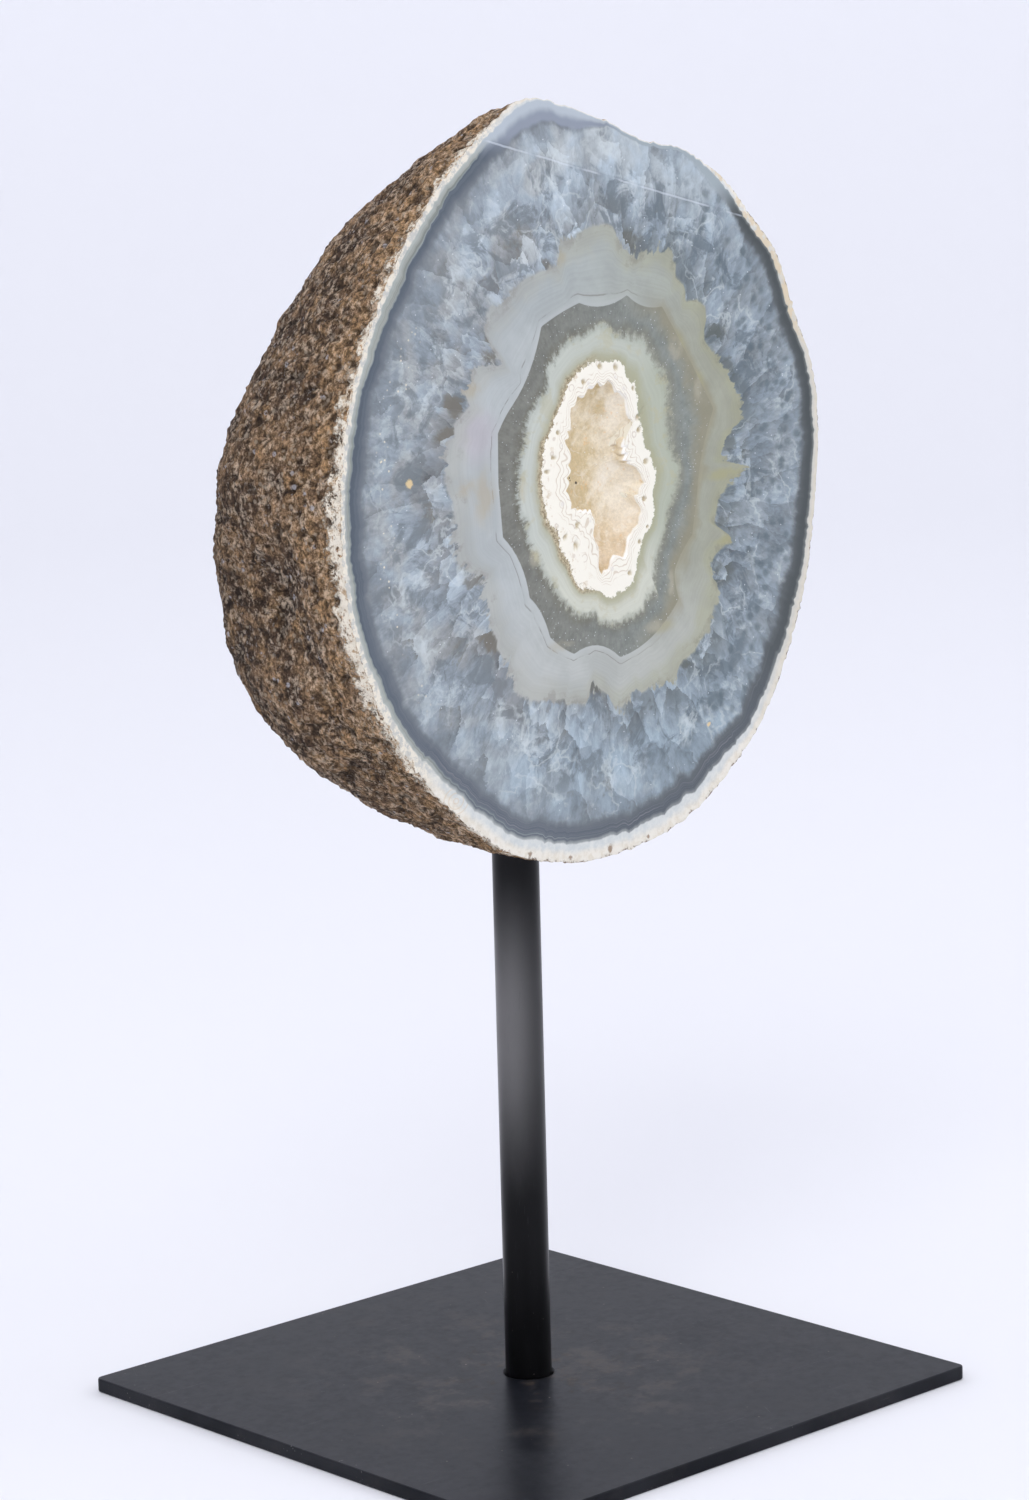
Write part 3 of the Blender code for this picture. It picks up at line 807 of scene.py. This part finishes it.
def quartz_layer(f, m):
    """Blue-grey quartz in radial crystals, with whitish plumes and smoky patches."""
    cloud = f.grain(m.place, 21, 3, 0.55)
    streak = f.grain(m.rays(11, 0.055), 1.0, 5, 0.68, 0.6)
    feather = f.grain(m.rays(34, 0.17), 1.0, 5, 0.75, 0.4)
    sugar = f.grain(m.place, 1.1, 4, 0.8)
    shard = f.join(
        m.east * 12 + m.wander * 0.9, m.reach * 0.052 + feather * 0.16, m.north * 12 + streak * 0.5
    )
    shard_tone = f.cell_tone(shard, 1.0)
    east_slope, outward, north_slope = f.facets(shard, 1.0)
    sideways = east_slope * m.north - north_slope * m.east
    small = f.join(m.east * 30 + m.wander, m.reach * 0.12 + feather * 0.25, m.north * 30 + streak)
    splinter = f.facets(small, 1.0)[1]
    high = f.step(m.z, 345, 390)
    chip = f.step(m.past_chip, 0, 1.2)
    near_pale = f.step(m.wavy(0.5), 4.55, 4.1)
    level = 0.400 - m.right * 0.060 + high * 0.075 + chip * 0.08 + m.low * 0.045
    ripple = (cloud - 0.5) * 0.8 + (streak - 0.5) * 1.2 + (feather - 0.5) * 0.8 + (sugar - 0.5) * 0.25
    facet = (shard_tone - 0.5) * 0.3 + outward * 0.42 + sideways * 0.34 + splinter * 0.24
    ripple = ripple + facet * (near_pale * 0.3 + 0.6)
    warm = f.patches(m.place, 0.42, 0.6, 13, 3)
    tint = f.mix(warm, seen(0.318, 0.366, 0.422), seen(0.343, 0.368, 0.392))
    tint = f.mix((m.low + m.right) * 0.5, tint, seen(0.295, 0.362, 0.430))
    coat = Coat(f, f.shade(tint, (level + level * ripple) * 2.8))

    smoke = f.patches(m.rays(7, 0.08), 0.50, 0.60, 1.0, 5, 0.65, 0.8)
    smoke = smoke * f.step(m.band, 4.95, 4.6)
    coat.lay(smoke * 0.75, m.tone((0.21, 0.24, 0.27), (0.165, 0.20, 0.235)))
    inner = near_pale * f.step(shard_tone + m.wander - outward * 0.6, 0.45, 0.65)
    coat.lay(inner * 0.6, m.tone((0.23, 0.24, 0.255), (0.165, 0.19, 0.20)))

    smoky_white = f.grain(m.place, 8.5, 8, 0.72, 1.1)
    sweep = f.grain(m.rays(5, 0.045), 1.0, 6, 0.72, 1.2)
    fan = smoky_white * 0.35 + sweep * 0.62 + (cloud - 0.5) * 0.2 + outward * 0.08 + splinter * 0.05
    plume = f.step(fan, 0.49, 0.62) * f.step(feather, 0.3, 0.6, 0.4, 1.0)
    plume = plume * f.step(m.band, 4.05, 4.5, 0.2, 1.0) * (1 - smoke * 0.6)
    coat.lay(plume * (0.75 + high * 0.2 - m.right * 0.25), seen(0.60, 0.67, 0.73))
    crackle = f.step(f.ridge(m.rays(5, 0.06), 1.0, 7, 0.3), 0.955, 1.0) * f.step(cloud, 0.42, 0.56)
    coat.lay(crackle * 0.4, seen(0.66, 0.73, 0.77))
    cobble = f.cells(f.join(m.east * 21 + m.wander, m.reach * 0.2 + feather * 0.3, m.north * 21), 1.0)
    cobbled = f.step(m.x + m.wander * 30, 30, 55) * f.step(m.band, 4.2, 4.5)
    coat.lay(f.step(cobble, 0.48, 0.14) * cobbled * 0.6, seen(0.14, 0.175, 0.20))

    pocket = f.attribute("smoke") + m.wander * 1.5 + (feather - 0.5) * 1.2 - outward * 0.5
    coat.lay(f.step(pocket, 0.35, 0.8) * 0.7, m.tone((0.21, 0.195, 0.165), (0.155, 0.17, 0.165)))
    outer = f.step(m.wavy(0.5), 4.66, 5.05) * f.step(m.x, 60, -60, 0.25, 0.65)
    coat.lay(outer * 0.6, seen(0.21, 0.235, 0.265))

    cream = f.specks(m.place, 1.5, 0.42, 0.34) * f.step(abs(m.band - 4.8), 0.16, 0.05)
    cream = cream * f.step(m.x, -62, -80) * f.patches(m.place, 0.42, 0.52, 14, 2)
    coat.lay(cream * 0.9, (0.76, 0.70, 0.54))
    glints = f.specks(m.place, 1.9, 0.24, 0.22)
    coat.lay(glints * 0.65, (0.80, 0.84, 0.88))
    spots = ((-75, 303, 1.7), (49, 215, 0.9), (-43, 261, 0.9))
    for spot_x, spot_z, radius in spots:
        off = m.distance(spot_x, spot_z) + (sugar - 0.5) * 2.4
        coat.lay(f.step(off, radius, radius * 0.5) * 0.85, (0.76, 0.58, 0.30))
    return coat.colour


def dark_band_layer(f, m):
    """Blue-grey laminae, with a greenish translucent one outside."""
    lines = f.grain(m.rings(7, 1.2), 1.0, 2, 0.5)
    coat = Coat(f, m.tone((0.138, 0.160, 0.195), (0.115, 0.127, 0.134)))
    coat.lay(m.low * 0.6, seen(0.160, 0.180, 0.215))
    coat.lay(f.step(lines, 0.44, 0.62) * (1 - m.right) * 0.25, seen(0.24, 0.27, 0.315))
    lavender = f.step(abs(f.grain(m.rings(12, 0.8), 1.0, 1) - 0.5), 0.03, 0.0) * m.low
    coat.lay(lavender * 0.4, seen(0.38, 0.38, 0.43))
    fade = f.step(m.wavy(0.35) - m.right * 0.1, 5.0, 5.6)
    coat.colour = f.mix(fade, m.tone((0.215, 0.24, 0.275), (0.165, 0.18, 0.195)), coat.colour)
    lamina_edge = 5.76 - f.step(m.x, -40, -70) * f.step(m.z, 330, 350) * 0.16
    lamina = f.step(m.wavy(0.12) - lamina_edge, -0.05, 0.05)
    lamina = lamina * f.step(m.x, 0, -40) * f.step(m.z, 205, 222)
    green = f.mix(f.step(lines, 0.4, 0.6), seen(0.275, 0.295, 0.285), seen(0.43, 0.46, 0.44))
    coat.lay(lamina * 0.85, green)
    thread = f.step(abs(m.wavy(0.12) - lamina_edge), 0.05, 0.012) * f.step(m.x, 20, -40)
    coat.lay(thread * 0.4, seen(0.38, 0.44, 0.46))
    milky = f.step(m.wavy(0.2), 5.8, 5.97)
    coat.lay(milky * (0.75 - m.right * 0.5), seen(0.50, 0.54, 0.55))
    frosted = f.step(m.z - m.x * 0.35, 352, 366) * f.step(m.x, 4, 16) * f.step(m.band, 4.9, 5.3)
    coat.lay(frosted * 0.8, seen(0.42, 0.49, 0.55))
    apex = f.step(m.z, 396, 404) * f.step(m.x, 24, 2)
    outermost = f.step(m.wavy(0.2), 5.45, 5.8)
    rim = f.mix(outermost, seen(0.29, 0.33, 0.41), seen(0.47, 0.53, 0.61))
    coat.lay(apex * f.step(m.band, 5.1, 5.3), rim)
    return coat.colour


def pale_band_layer(f, m):
    """Milky agate: lilac and tan at the left, olive at the right, thinly laminated."""
    laminae = f.grain(m.rings(24, 1.2), 1.0, 3, 0.65)
    coat = Coat(f, m.tone((0.48, 0.52, 0.55), (0.385, 0.40, 0.345)))
    coat.lay(f.step(m.z, 335, 362) * 0.75, m.tone((0.44, 0.49, 0.53), (0.41, 0.44, 0.41)))
    coat.lay(f.step(m.z, 275, 240) * 0.85, m.tone((0.51, 0.54, 0.555), (0.47, 0.49, 0.475)))
    lilac = f.step(((m.x + 48) ** 2 + (m.z - 315) ** 2) ** 0.5 + m.wander * 8, 12, 3)
    coat.lay(lilac * 0.7, seen(0.53, 0.51, 0.575))
    outer = f.step(m.wavy(0.7), 3.5, 3.9)
    coat.lay(outer * 0.6, m.tone((0.43, 0.44, 0.425), (0.39, 0.40, 0.30)))
    seep = f.step(m.wavy(0.9), 3.75, 4.0) * f.patches(m.place, 0.5, 0.6, 8, 4, 0.7)
    coat.lay(seep * 0.5, m.tone((0.31, 0.31, 0.30), (0.27, 0.275, 0.23)))
    lit = f.step(f.grain(m.place, 12, 4, 0.6), 0.35, 0.65, 0.93, 1.06)
    coat.shade(lit * f.step(laminae, 0.3, 0.7, 0.965, 1.03))
    fold = f.step(abs(m.band + f.grain(m.rings(3, 4), 1.0) * 0.03 - 3.155), 0.018, 0.004)
    coat.lay(fold * f.step(m.x, 38, 8) * f.step(m.wander, -0.1, 0.06) * 0.6, seen(0.26, 0.26, 0.25))
    lip = f.step(m.band, 3.14, 3.02) * f.step(m.x, 36, 6)
    coat.lay(lip * 0.35, seen(0.56, 0.60, 0.63))
    halo = f.step(m.wavy(0.3), 3.28, 3.0) * f.step(m.x, 20, 40)
    coat.lay(halo * 0.6, seen(0.34, 0.32, 0.235))
    coat.lay(f.step(m.honey, 0.2, 0.9) * 0.65, m.tone((0.46, 0.42, 0.34), (0.41, 0.40, 0.25)))
    return coat.colour


def needle_layer(f, m):
    """Grey-olive quartz full of fine dark needles and white sparks."""
    coat = Coat(f, m.tone((0.235, 0.24, 0.225), (0.275, 0.305, 0.30)))
    blotch = f.grain(m.place, 4.5, 5, 0.7)
    coat.shade(f.step(blotch, 0.3, 0.7, 0.84, 1.16) * f.step(m.needles, 0.3, 0.7, 0.93, 1.07))
    rust = f.step(m.wavy(0.6), 2.35, 2.95) * f.step(m.x, 12, 36)
    coat.lay(rust * 0.75, seen(0.335, 0.315, 0.235))
    root = f.step(m.wavy(0.5), 2.45, 2.02)
    coat.lay(root * 0.6, m.tone((0.185, 0.18, 0.15), (0.27, 0.265, 0.22)))
    sparks = f.specks(m.rays(70, 0.9), 1.0, 0.25, 0.2)
    coat.lay(sparks * 0.6, (0.66, 0.70, 0.70))
    coat.lay(f.specks(m.place, 1.3, 0.2, 0.2) * 0.6, (0.70, 0.73, 0.73))
    coat.lay(f.step(m.honey, 0.4, 0.9) * 0.6, seen(0.46, 0.45, 0.38))
    return coat.colour


def inner_ring_layer(f, m):
    """A milky ring that turns olive and rough against the lace."""
    laminae = f.grain(m.rings(16, 1.5), 1.0, 2, 0.5)
    coat = Coat(f, m.tone((0.575, 0.615, 0.60), (0.45, 0.486, 0.41)))
    coat.lay(f.step(m.z, 285, 262), seen(0.63, 0.655, 0.60))
    coat.lay(f.step(m.z, 325, 338) * 0.6, seen(0.55, 0.59, 0.56))
    coat.shade(f.step(laminae, 0.3, 0.7, 0.965, 1.035))
    thin = f.step(m.wavy(0.8), 1.72, 2.05)
    coat.lay(thin * 0.55, m.tone((0.36, 0.39, 0.37), (0.36, 0.38, 0.32)))
    amber = f.patches(m.place, 0.54, 0.64, 6, 3, 0.6)
    coat.lay(amber * 0.35, seen(0.52, 0.49, 0.33))
    coat.lay(f.step(m.honey, 0.3, 0.9) * 0.6, seen(0.52, 0.48, 0.34))
    olive = f.step(m.wavy(0.35), 1.55, 1.08)
    coat.lay(olive * 0.8, m.tone((0.42, 0.395, 0.28), (0.43, 0.44, 0.32)))
    gap = f.step(m.wavy(0.45), 1.26, 1.08) * f.step(m.x, 6, -8)
    crumbs = f.patches(m.place, 0.42, 0.58, 1.3, 4, 0.8)
    coat.lay(gap * 0.8, f.mix(crumbs, (0.20, 0.145, 0.07), (0.56, 0.47, 0.31)))
    return coat.colour


def lace_layer(f, m):
    """White lace: scalloped lines along the mouth, and small ringed eyes between them."""
    eyes = f.cells(m.place, 3.9)
    depth = m.band * 6.0 - eyes * 1.7
    lines = abs(depth.fraction() - 0.5)
    coat = Coat(f, m.tone((0.945, 0.925, 0.865), (0.915, 0.905, 0.85)))
    near_mouth = f.step(m.band, 0.62, 0.45)
    coat.lay(f.step(lines, 0.16, 0.04) * near_mouth * 0.8, seen(0.70, 0.62, 0.53))
    chosen = f.step(f.cell_tone(m.place, 3.9), 0.62, 0.66)
    ring = f.step(abs(eyes - 0.32), 0.06, 0.015) * f.step(m.band, 0.25, 0.4)
    coat.lay(ring * chosen * 0.5, seen(0.62, 0.54, 0.47))
    lilac = f.step(eyes, 0.26, 0.16) * chosen * near_mouth
    coat.lay(lilac * 0.4, seen(0.70, 0.67, 0.68))
    stain = f.patches(m.place, 0.54, 0.66, 2.2, 4, 0.7) * f.step(m.band, 0.45, 0.95)
    coat.lay(stain * f.step(m.x, 6, -10) * 0.8, (0.62, 0.50, 0.34))
    coat.lay(f.attribute("hole") * 0.8, (0.50, 0.40, 0.22))
    return coat.colour


def skin_layer(f, m):
    """The chalky skin: cream outside, porcelain white inside, brown at its nibbled edge."""
    through = m.band - 6
    soft = f.grain(m.place, 3, 5, 0.7)
    cream = f.mix(f.step(soft, 0.36, 0.58), (0.70, 0.645, 0.53), (0.79, 0.755, 0.665))
    porcelain = f.mix(f.step(soft, 0.35, 0.65), (0.57, 0.60, 0.585), (0.68, 0.695, 0.66))
    coat = Coat(f, f.mix(f.step(through + m.wander * 0.7, 0.2, 0.7), porcelain, cream))
    left = f.step(m.x, -20, -50) * f.step(m.z, 205, 225)
    patches = f.patches(m.place, 0.42, 0.56, 2.6, 4, 0.75)
    coat.lay(left * 0.85, f.mix(patches, (0.50, 0.50, 0.46), (0.80, 0.74, 0.61)))
    gaps = f.step(through + (f.grain(m.place, 4.5, 5, 0.8) - 0.5) * 3.0, 0.9, 1.1) * left
    coat.lay(gaps * 0.75, (0.36, 0.24, 0.12))
    coat.lay(f.step(m.x, 60, 92) * 0.6, (0.58, 0.54, 0.44))
    tan_chips = f.patches(m.place, 0.46, 0.54, 4, 4, 0.7) * f.step(m.x, 48, 60)
    coat.lay(tan_chips * f.step(m.z, 325, 345) * 0.75, (0.68, 0.56, 0.37))
    eye = (((m.x + 60) * 0.8) ** 2 + (m.z - 206) ** 2) ** 0.5
    rings = f.step(abs((eye * 0.62).fraction() - 0.5), 0.2, 0.05)
    coat.lay(f.step(eye, 4.6, 4.0) * rings * 0.4, (0.62, 0.48, 0.30))
    rust = f.step(through + (f.grain(m.place, 2.0, 5, 0.8) - 0.5) * 1.5, 0.99, 1.10)
    spots = ((4, 181.6, 1.5), (-13, 181.5, 1.1), (21, 183, 0.9), (-30, 185, 1.2))
    for spot_x, spot_z, radius in spots:
        off = m.distance(spot_x, spot_z) + (soft - 0.5) * 3
        coat.lay(f.step(off, radius, radius * 0.5) * 0.8, (0.22, 0.13, 0.065))
    coat.lay(rust * 0.9, (0.15, 0.085, 0.042))
    return coat.colour, rust


def polished_agate():
    """The cut face. Each ring of the banding is a layer, placed by the band value."""
    f = Finish("polished_agate", 0.24, Specular_IOR_Level=0.42)
    m = FaceMap(f)
    feather = f.grain(m.rays(30, 0.13), 1.0, 4, 0.65) - 0.5

    dark = f.step(m.wavy(0.4) + feather * 0.5 - m.right * 0.15, 4.82, 5.25)
    coat = Coat(f, f.mix(dark, quartz_layer(f, m), dark_band_layer(f, m)))
    misty = f.patches(m.place, 0.46, 0.6, 16, 2)
    edge_wander = m.wander * (misty * 0.35 + 0.06) + feather * (misty * 0.45 + 0.08)
    in_pale = f.step(m.band + edge_wander, 4.03, 3.97)
    coat.lay(in_pale, pale_band_layer(f, m))
    coat.lay(f.step(m.band, 3.012, 2.985), needle_layer(f, m))
    fray = (m.needles - 0.5) * f.step(m.x, 30, 0, 0.3, 0.6)
    fray = fray + (f.grain(m.place, 2.6, 4, 0.7) - 0.5) * 0.8
    root = f.step(m.band + fray, 2.2, 1.86)
    coat.lay(root, inner_ring_layer(f, m))
    ragged = f.grain(m.place, 1.5, 3, 0.7) - 0.5
    in_lace = f.step(m.band + ragged * 0.5, 1.03, 0.98)
    coat.lay(in_lace, lace_layer(f, m))
    skin_colour, rust = skin_layer(f, m)
    in_skin = f.step(m.wavy(0.14), 5.95, 6.03)
    coat.lay(in_skin, skin_colour)

    # A pale hairline along the chip's fold: a painted highlight on the small ledge there.
    fold = f.step(abs(m.past_chip + m.wander * 0.7), 0.5, 0.1)
    fold = fold * f.patches(m.place, 0.4, 0.55, 13, 3)
    coat.lay(fold * f.step(m.band, 6.2, 5.9) * 0.4, (0.70, 0.76, 0.82))
    f.set("Base Color", coat.colour)
    chip = f.step(m.past_chip, 0, 1.2)
    f.set("Roughness", f.step(in_skin, 0, 1, 0.24, 0.7) + chip * 0.08)
    f.bump(rust * -0.6 + in_lace * ragged * 0.25 + f.grain(m.place, 2.0, 2) * 0.05, 0.0006, 0.6)
    return f.material


def hollow_crystal():
    """Tan to cream, sandy and damp-looking, with white lobes at the lip."""
    f = Finish("hollow_crystal", 0.36, Specular_IOR_Level=0.4)
    place = f.place()
    x, _, z = f.split(place)
    sunk = f.attribute("sunk")
    cloud = f.grain(place, 9, 5, 0.65)
    sand = f.grain(place, 0.9, 4, 0.8)
    coat = Coat(f, f.mix(f.step(cloud, 0.36, 0.64), (0.61, 0.48, 0.265), (0.80, 0.69, 0.49)))
    coat.lay(f.step(x + (cloud - 0.5) * 24, 3, 16) * 0.8, (0.90, 0.82, 0.67))
    coat.lay(f.step(z, 290, 276) * 0.5, (0.66, 0.48, 0.29))
    coat.shade(f.step(sand, 0.3, 0.7, 0.90, 1.09))
    milky = f.patches(place, 0.52, 0.66, 5, 5, 0.7, 1.0)
    coat.lay(milky * 0.45, (0.92, 0.86, 0.74))
    amber = f.patches(place, 0.56, 0.66, 1.6, 4, 0.7) * f.patches(place, 0.5, 0.6, 6, 2)
    coat.lay(amber * 0.5, (0.80, 0.50, 0.20))
    coat.lay(f.specks(place, 1.5, 0.22, 0.2) * 0.7, (0.97, 0.95, 0.90))
    spots = ((0, 296, 0.55), (-3.3, 297.8, 0.35), (-3.0, 297, 0.3))
    for spot_x, spot_z, radius in spots:
        off = ((x - spot_x) ** 2 + (z - spot_z) ** 2) ** 0.5
        coat.lay(f.step(off, radius, radius * 0.6), (0.05, 0.035, 0.025))
    lip = f.step(sunk + (sand - 0.5) * 0.12, 0.17, 0.08)
    coat.lay(lip, (0.97, 0.955, 0.90))
    f.set("Base Color", coat.colour)
    f.bump(f.grain(place, 0.9, 4, 0.6), 0.0003, 0.45)
    return f.material


def blackened_iron():
    """Dark oiled plate: a soft sheen, fine scratches, dust and a little rust at the foot."""
    f = Finish("blackened_iron", 0.36, 0.0, Specular_IOR_Level=0.10)
    place = f.place()
    x, y, z = f.split(place)
    cloud = f.grain(place, 45, 4, 0.55)
    mottle = f.grain(place, 3.0, 4, 0.6)
    lengthwise = f.grain(f.join(x * 0.03 + y * 0.8, y * 0.03, z), 0.6, 2)
    slanting = f.grain(f.join(x * 0.9 - y * 0.5, y * 0.02 + x * 0.03, z), 0.7, 2)
    scratches = f.step(lengthwise, 0.70, 0.75) * f.step(cloud, 0.5, 0.62) * 0.5
    scratches = scratches + f.step(slanting, 0.73, 0.78) * f.step(cloud, 0.52, 0.42) * 0.4
    coat = Coat(f, f.mix(f.step(cloud, 0.35, 0.65), (0.004, 0.005, 0.008), (0.016, 0.017, 0.021)))
    coat.lay(scratches * 0.7, (0.11, 0.11, 0.115))
    from_post = (x * x + y * y) ** 0.5
    foot = f.step(from_post + mottle * 30, 75, 25)
    rust = f.patches(place, 0.55, 0.68, 6, 5, 0.7) * foot
    coat.lay(rust * 0.4, (0.085, 0.062, 0.042))
    film = f.patches(place, 0.50, 0.66, 16, 5, 0.7) * f.step(from_post, 96, 30, 0.15, 1.0)
    coat.lay(film * f.step(mottle, 0.35, 0.6, 0.4, 1.0) * 0.34, (0.12, 0.10, 0.082))
    dust = f.specks(place, 4.5, 0.4, 0.14)
    coat.lay(dust * f.step(foot, 0, 1, 0.35, 0.8), (0.26, 0.22, 0.18))
    chips = f.patches(place, 0.66, 0.72, 2.2, 3, 0.7) * f.patches(place, 0.5, 0.6, 22, 2)
    near_edge = f.step(abs(x).larger(abs(y)), 92, 99)
    coat.lay(chips * (near_edge * 0.6 + 0.2), (0.20, 0.19, 0.185))
    # Painted shade: a dark ring round the post's foot, where the edge of the plate's hole lies in
    # shadow.
    ring = f.step(from_post, 9.6, 8.6)
    coat.lay(ring * 0.7, (0.006, 0.006, 0.007))
    f.set("Base Color", coat.colour)
    f.set("Roughness", f.step(cloud * 0.5 + mottle * 0.35 + rust * 0.2, 0.3, 0.65, 0.30, 0.44))
    f.bump(mottle * 0.25 + scratches * -0.5 + dust * foot, 0.00012, 0.35)
    return f.material


def iron_with_painted_sheen():
    """The post's finish: black at its ends, with a painted grey sheen in between that stands for a
    reflection of the pale floor.
    """
    f = Finish("iron_with_painted_sheen", 0.34, 0.85)
    place = f.place()
    x, y, z = f.split(place)
    cloud = f.grain(f.join(x, y, z * 0.25), 9, 4, 0.6)
    # Painted sheen: a painted reflection of the pale floor over the middle of the post's height,
    # fading towards its ends and strongest on the side towards the camera.
    painted_sheen = f.step(z + (cloud - 0.5) * 14, 60, 118) * f.step(z, 174, 124)
    painted_sheen = painted_sheen * f.step(y * 0.68 - x * 0.73, -7, 3, 0.3, 1.0)
    coat = Coat(f, f.mix(painted_sheen, (0.010, 0.010, 0.011), (0.155, 0.152, 0.152)))
    scratches = f.patches(f.join(x * 2, y * 2, z * 0.12), 0.66, 0.75, 0.7, 2)
    coat.lay(scratches * 0.35, (0.055, 0.055, 0.06))
    dust = f.specks(place, 3.5, 0.3, 0.14) * f.step(z, 60, 12)
    coat.lay(dust * 0.6, (0.20, 0.18, 0.16))
    f.set("Base Color", coat.colour)
    f.set("Roughness", f.step(cloud, 0.35, 0.65, 0.30, 0.40) + dust * 0.4)
    f.bump(cloud + f.grain(place, 0.8, 3) * 0.3, 0.00008, 0.3)
    return f.material


def black_resin():
    """The glossy smear that beds the stone on its post."""
    f = Finish("black_resin", 0.14, 0.0)
    place = f.place()
    coat = Coat(f, f.mix(f.grain(place, 3, 3), (0.004, 0.004, 0.005), (0.020, 0.018, 0.016)))
    f.set("Base Color", coat.colour)
    f.bump(f.grain(place, 2.0, 4, 0.6), 0.0006, 0.6)
    return f.material


def dress_plate():
    """The plate's own solid has its right form, so it only gets its finish."""
    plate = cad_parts["base_plate"]
    plate.data.materials.clear()
    plate.data.materials.append(blackened_iron())


def make_post():
    """The round bar, with its ends slightly broken."""
    low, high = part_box("post")
    radius = (high.x - low.x) / 2
    bevel = 0.6 * MM
    rows = 60
    side = high.z - low.z - 2 * bevel
    profile = [(0, 0, low.z), (radius - bevel, 0, low.z), (radius, 0, low.z + bevel)]
    for k in range(1, rows + 1):
        profile.append((radius, 0, low.z + bevel + side * k / rows))
    profile.append((radius - bevel * 0.3, 0, high.z - bevel * 0.3))
    profile += [(radius - bevel, 0, high.z), (0, 0, high.z)]
    code = turned(profile, ROUND_TURNS, (0, 0, 1))
    return new_piece("iron_post", code, [iron_with_painted_sheen()], "post", slot="black_iron")


def make_resin_smear(stone):
    """A thin collar of resin round the post's top that spreads over the stone's underside."""
    skin = bmesh.new()
    skin.from_mesh(stone.data)
    underside = BVHTree.FromBMesh(skin)
    skin.free()
    post_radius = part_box("post")[1].x
    clearance = 0.75 * MM
    into_stone = 0.15 * MM
    below_stone = Vector((0, 0, 0.1))

    def roof(out, distance):
        """How high the resin reaches here: a little way into the stone's underside."""
        hit = underside.ray_cast(out * distance + below_stone, Vector((0, 0, 1)))[0]
        return hit.z + into_stone

    # Each loop's share of the way out along the stone, and of the smear's drop.
    rings = [(0.0, 1.0), (0.10, 1.0), (0.3, 0.85), (0.55, 0.55), (0.8, 0.25), (1.0, 0.0)]
    code = bmesh.new()
    around = 72
    loops = [[] for _ in rings]
    top = []
    for k in range(around):
        out = direction_on_floor(2 * pi * k / around)
        spread = (1.5 + 0.9 * noise.noise(out * 1.7) + 0.4 * noise.noise(out * 6)) * MM
        drips = 3.5 * noise.noise(out * 1.3 + Vector((4, 0, 0))) + 1.2 * noise.noise(out * 5)
        drop = (5 + drips) * MM
        base = roof(out, post_radius + 0.4 * MM)
        for loop, (share, hang) in zip(loops, rings):
            distance = post_radius + clearance + spread * share ** 1.5
            height = roof(out, distance)
            if share < 1:
                height = min(base - drop * hang, height - 0.1 * MM)
            loop.append(code.verts.new(out * distance + Vector((0, 0, height))))
        highest = Vector((0, 0, base + 0.5 * MM))
        top.append(code.verts.new(out * (post_radius + clearance * 0.3) + highest))
    loops.append(top)
    for first, second in zip(loops, loops[1:] + loops[:1]):
        for k in range(around):
            after = (k + 1) % around
            code.faces.new((first[k], first[after], second[after], second[k]))
    return new_piece("resin_smear", code, [black_resin()], slot="black_iron")


def soft_box(name, place, width, power):
    """A square light that is aimed at the middle of the thing."""
    light = bpy.data.lights.new(name, "AREA")
    light.shape = "SQUARE"
    light.size = width
    light.energy = power
    lamp = bpy.data.objects.new(name, light)
    lamp.location = place
    aim = Vector((0, 0, 0.25)) - Vector(place)
    lamp.rotation_euler = aim.to_track_quat("-Z", "Y").to_euler()
    bpy.context.scene.collection.objects.link(lamp)


def make_studio():
    """A round backdrop that sweeps up from the floor, under an even pale sky."""
    scene = bpy.context.scene
    scene.view_settings.view_transform = "Standard"
    paper = Finish("pale_paper", 0.95, Specular_IOR_Level=0.1)
    height = paper.split(paper.place())[2]
    rising = paper.step(height, 0, 700)
    paper.set("Base Color", paper.mix(rising, (0.845, 0.850, 0.872), (0.895, 0.901, 0.925)))
    floor_radius, sweep, wall_top = 2.4, 1.6, 3.4
    floor = -0.1 * MM
    sweep_rows = 16
    profile = [(0, 0, floor), (0.5, 0, floor), (1.2, 0, floor)]
    for k in range(sweep_rows + 1):
        angle = pi / 2 * k / sweep_rows
        profile.append((floor_radius + sweep * sin(angle), 0, floor + sweep * (1 - cos(angle))))
    profile.append((floor_radius + sweep, 0, wall_top))
    code = turned(profile, ROUND_TURNS, (0, 0, 1))
    backdrop = new_object("backdrop", code, [paper.material])

    world = bpy.data.worlds.new("studio")
    world.use_nodes = True
    sky = world.node_tree.nodes["Background"]
    sky.inputs["Color"].default_value = (0.90, 0.905, 0.985, 1)
    sky.inputs["Strength"].default_value = 1.15
    scene.world = world
    soft_box("key", (-1.6, -1.2, 1.9), 1.2, 16)
    soft_box("fill", (1.8, -1.6, 1.2), 1.4, 8)


def make_camera():
    """The photograph's view: from the left of the face, a little above it."""
    turn, dip, roll = radians(-42.9352), radians(9.7932), radians(-1.4733)
    back = Vector((sin(turn) * cos(dip), -cos(turn) * cos(dip), sin(dip)))
    level = direction_on_floor(turn)
    upright = back.cross(level)
    right = cos(roll) * level + sin(roll) * upright
    up = cos(roll) * upright - sin(roll) * level
    lens = bpy.data.cameras.new("camera")
    lens.sensor_width = 36
    lens.lens = 101.65
    camera = bpy.data.objects.new("camera", lens)
    camera.matrix_world = Matrix((right, up, back)).transposed().to_4x4()
    camera.location = (-0.89882, -0.96688, 0.43702)
    bpy.context.scene.collection.objects.link(camera)
    bpy.context.scene.camera = camera


stone = make_stone()
make_crust()
dress_plate()
make_post()
make_resin_smear(stone)
make_studio()
make_camera()
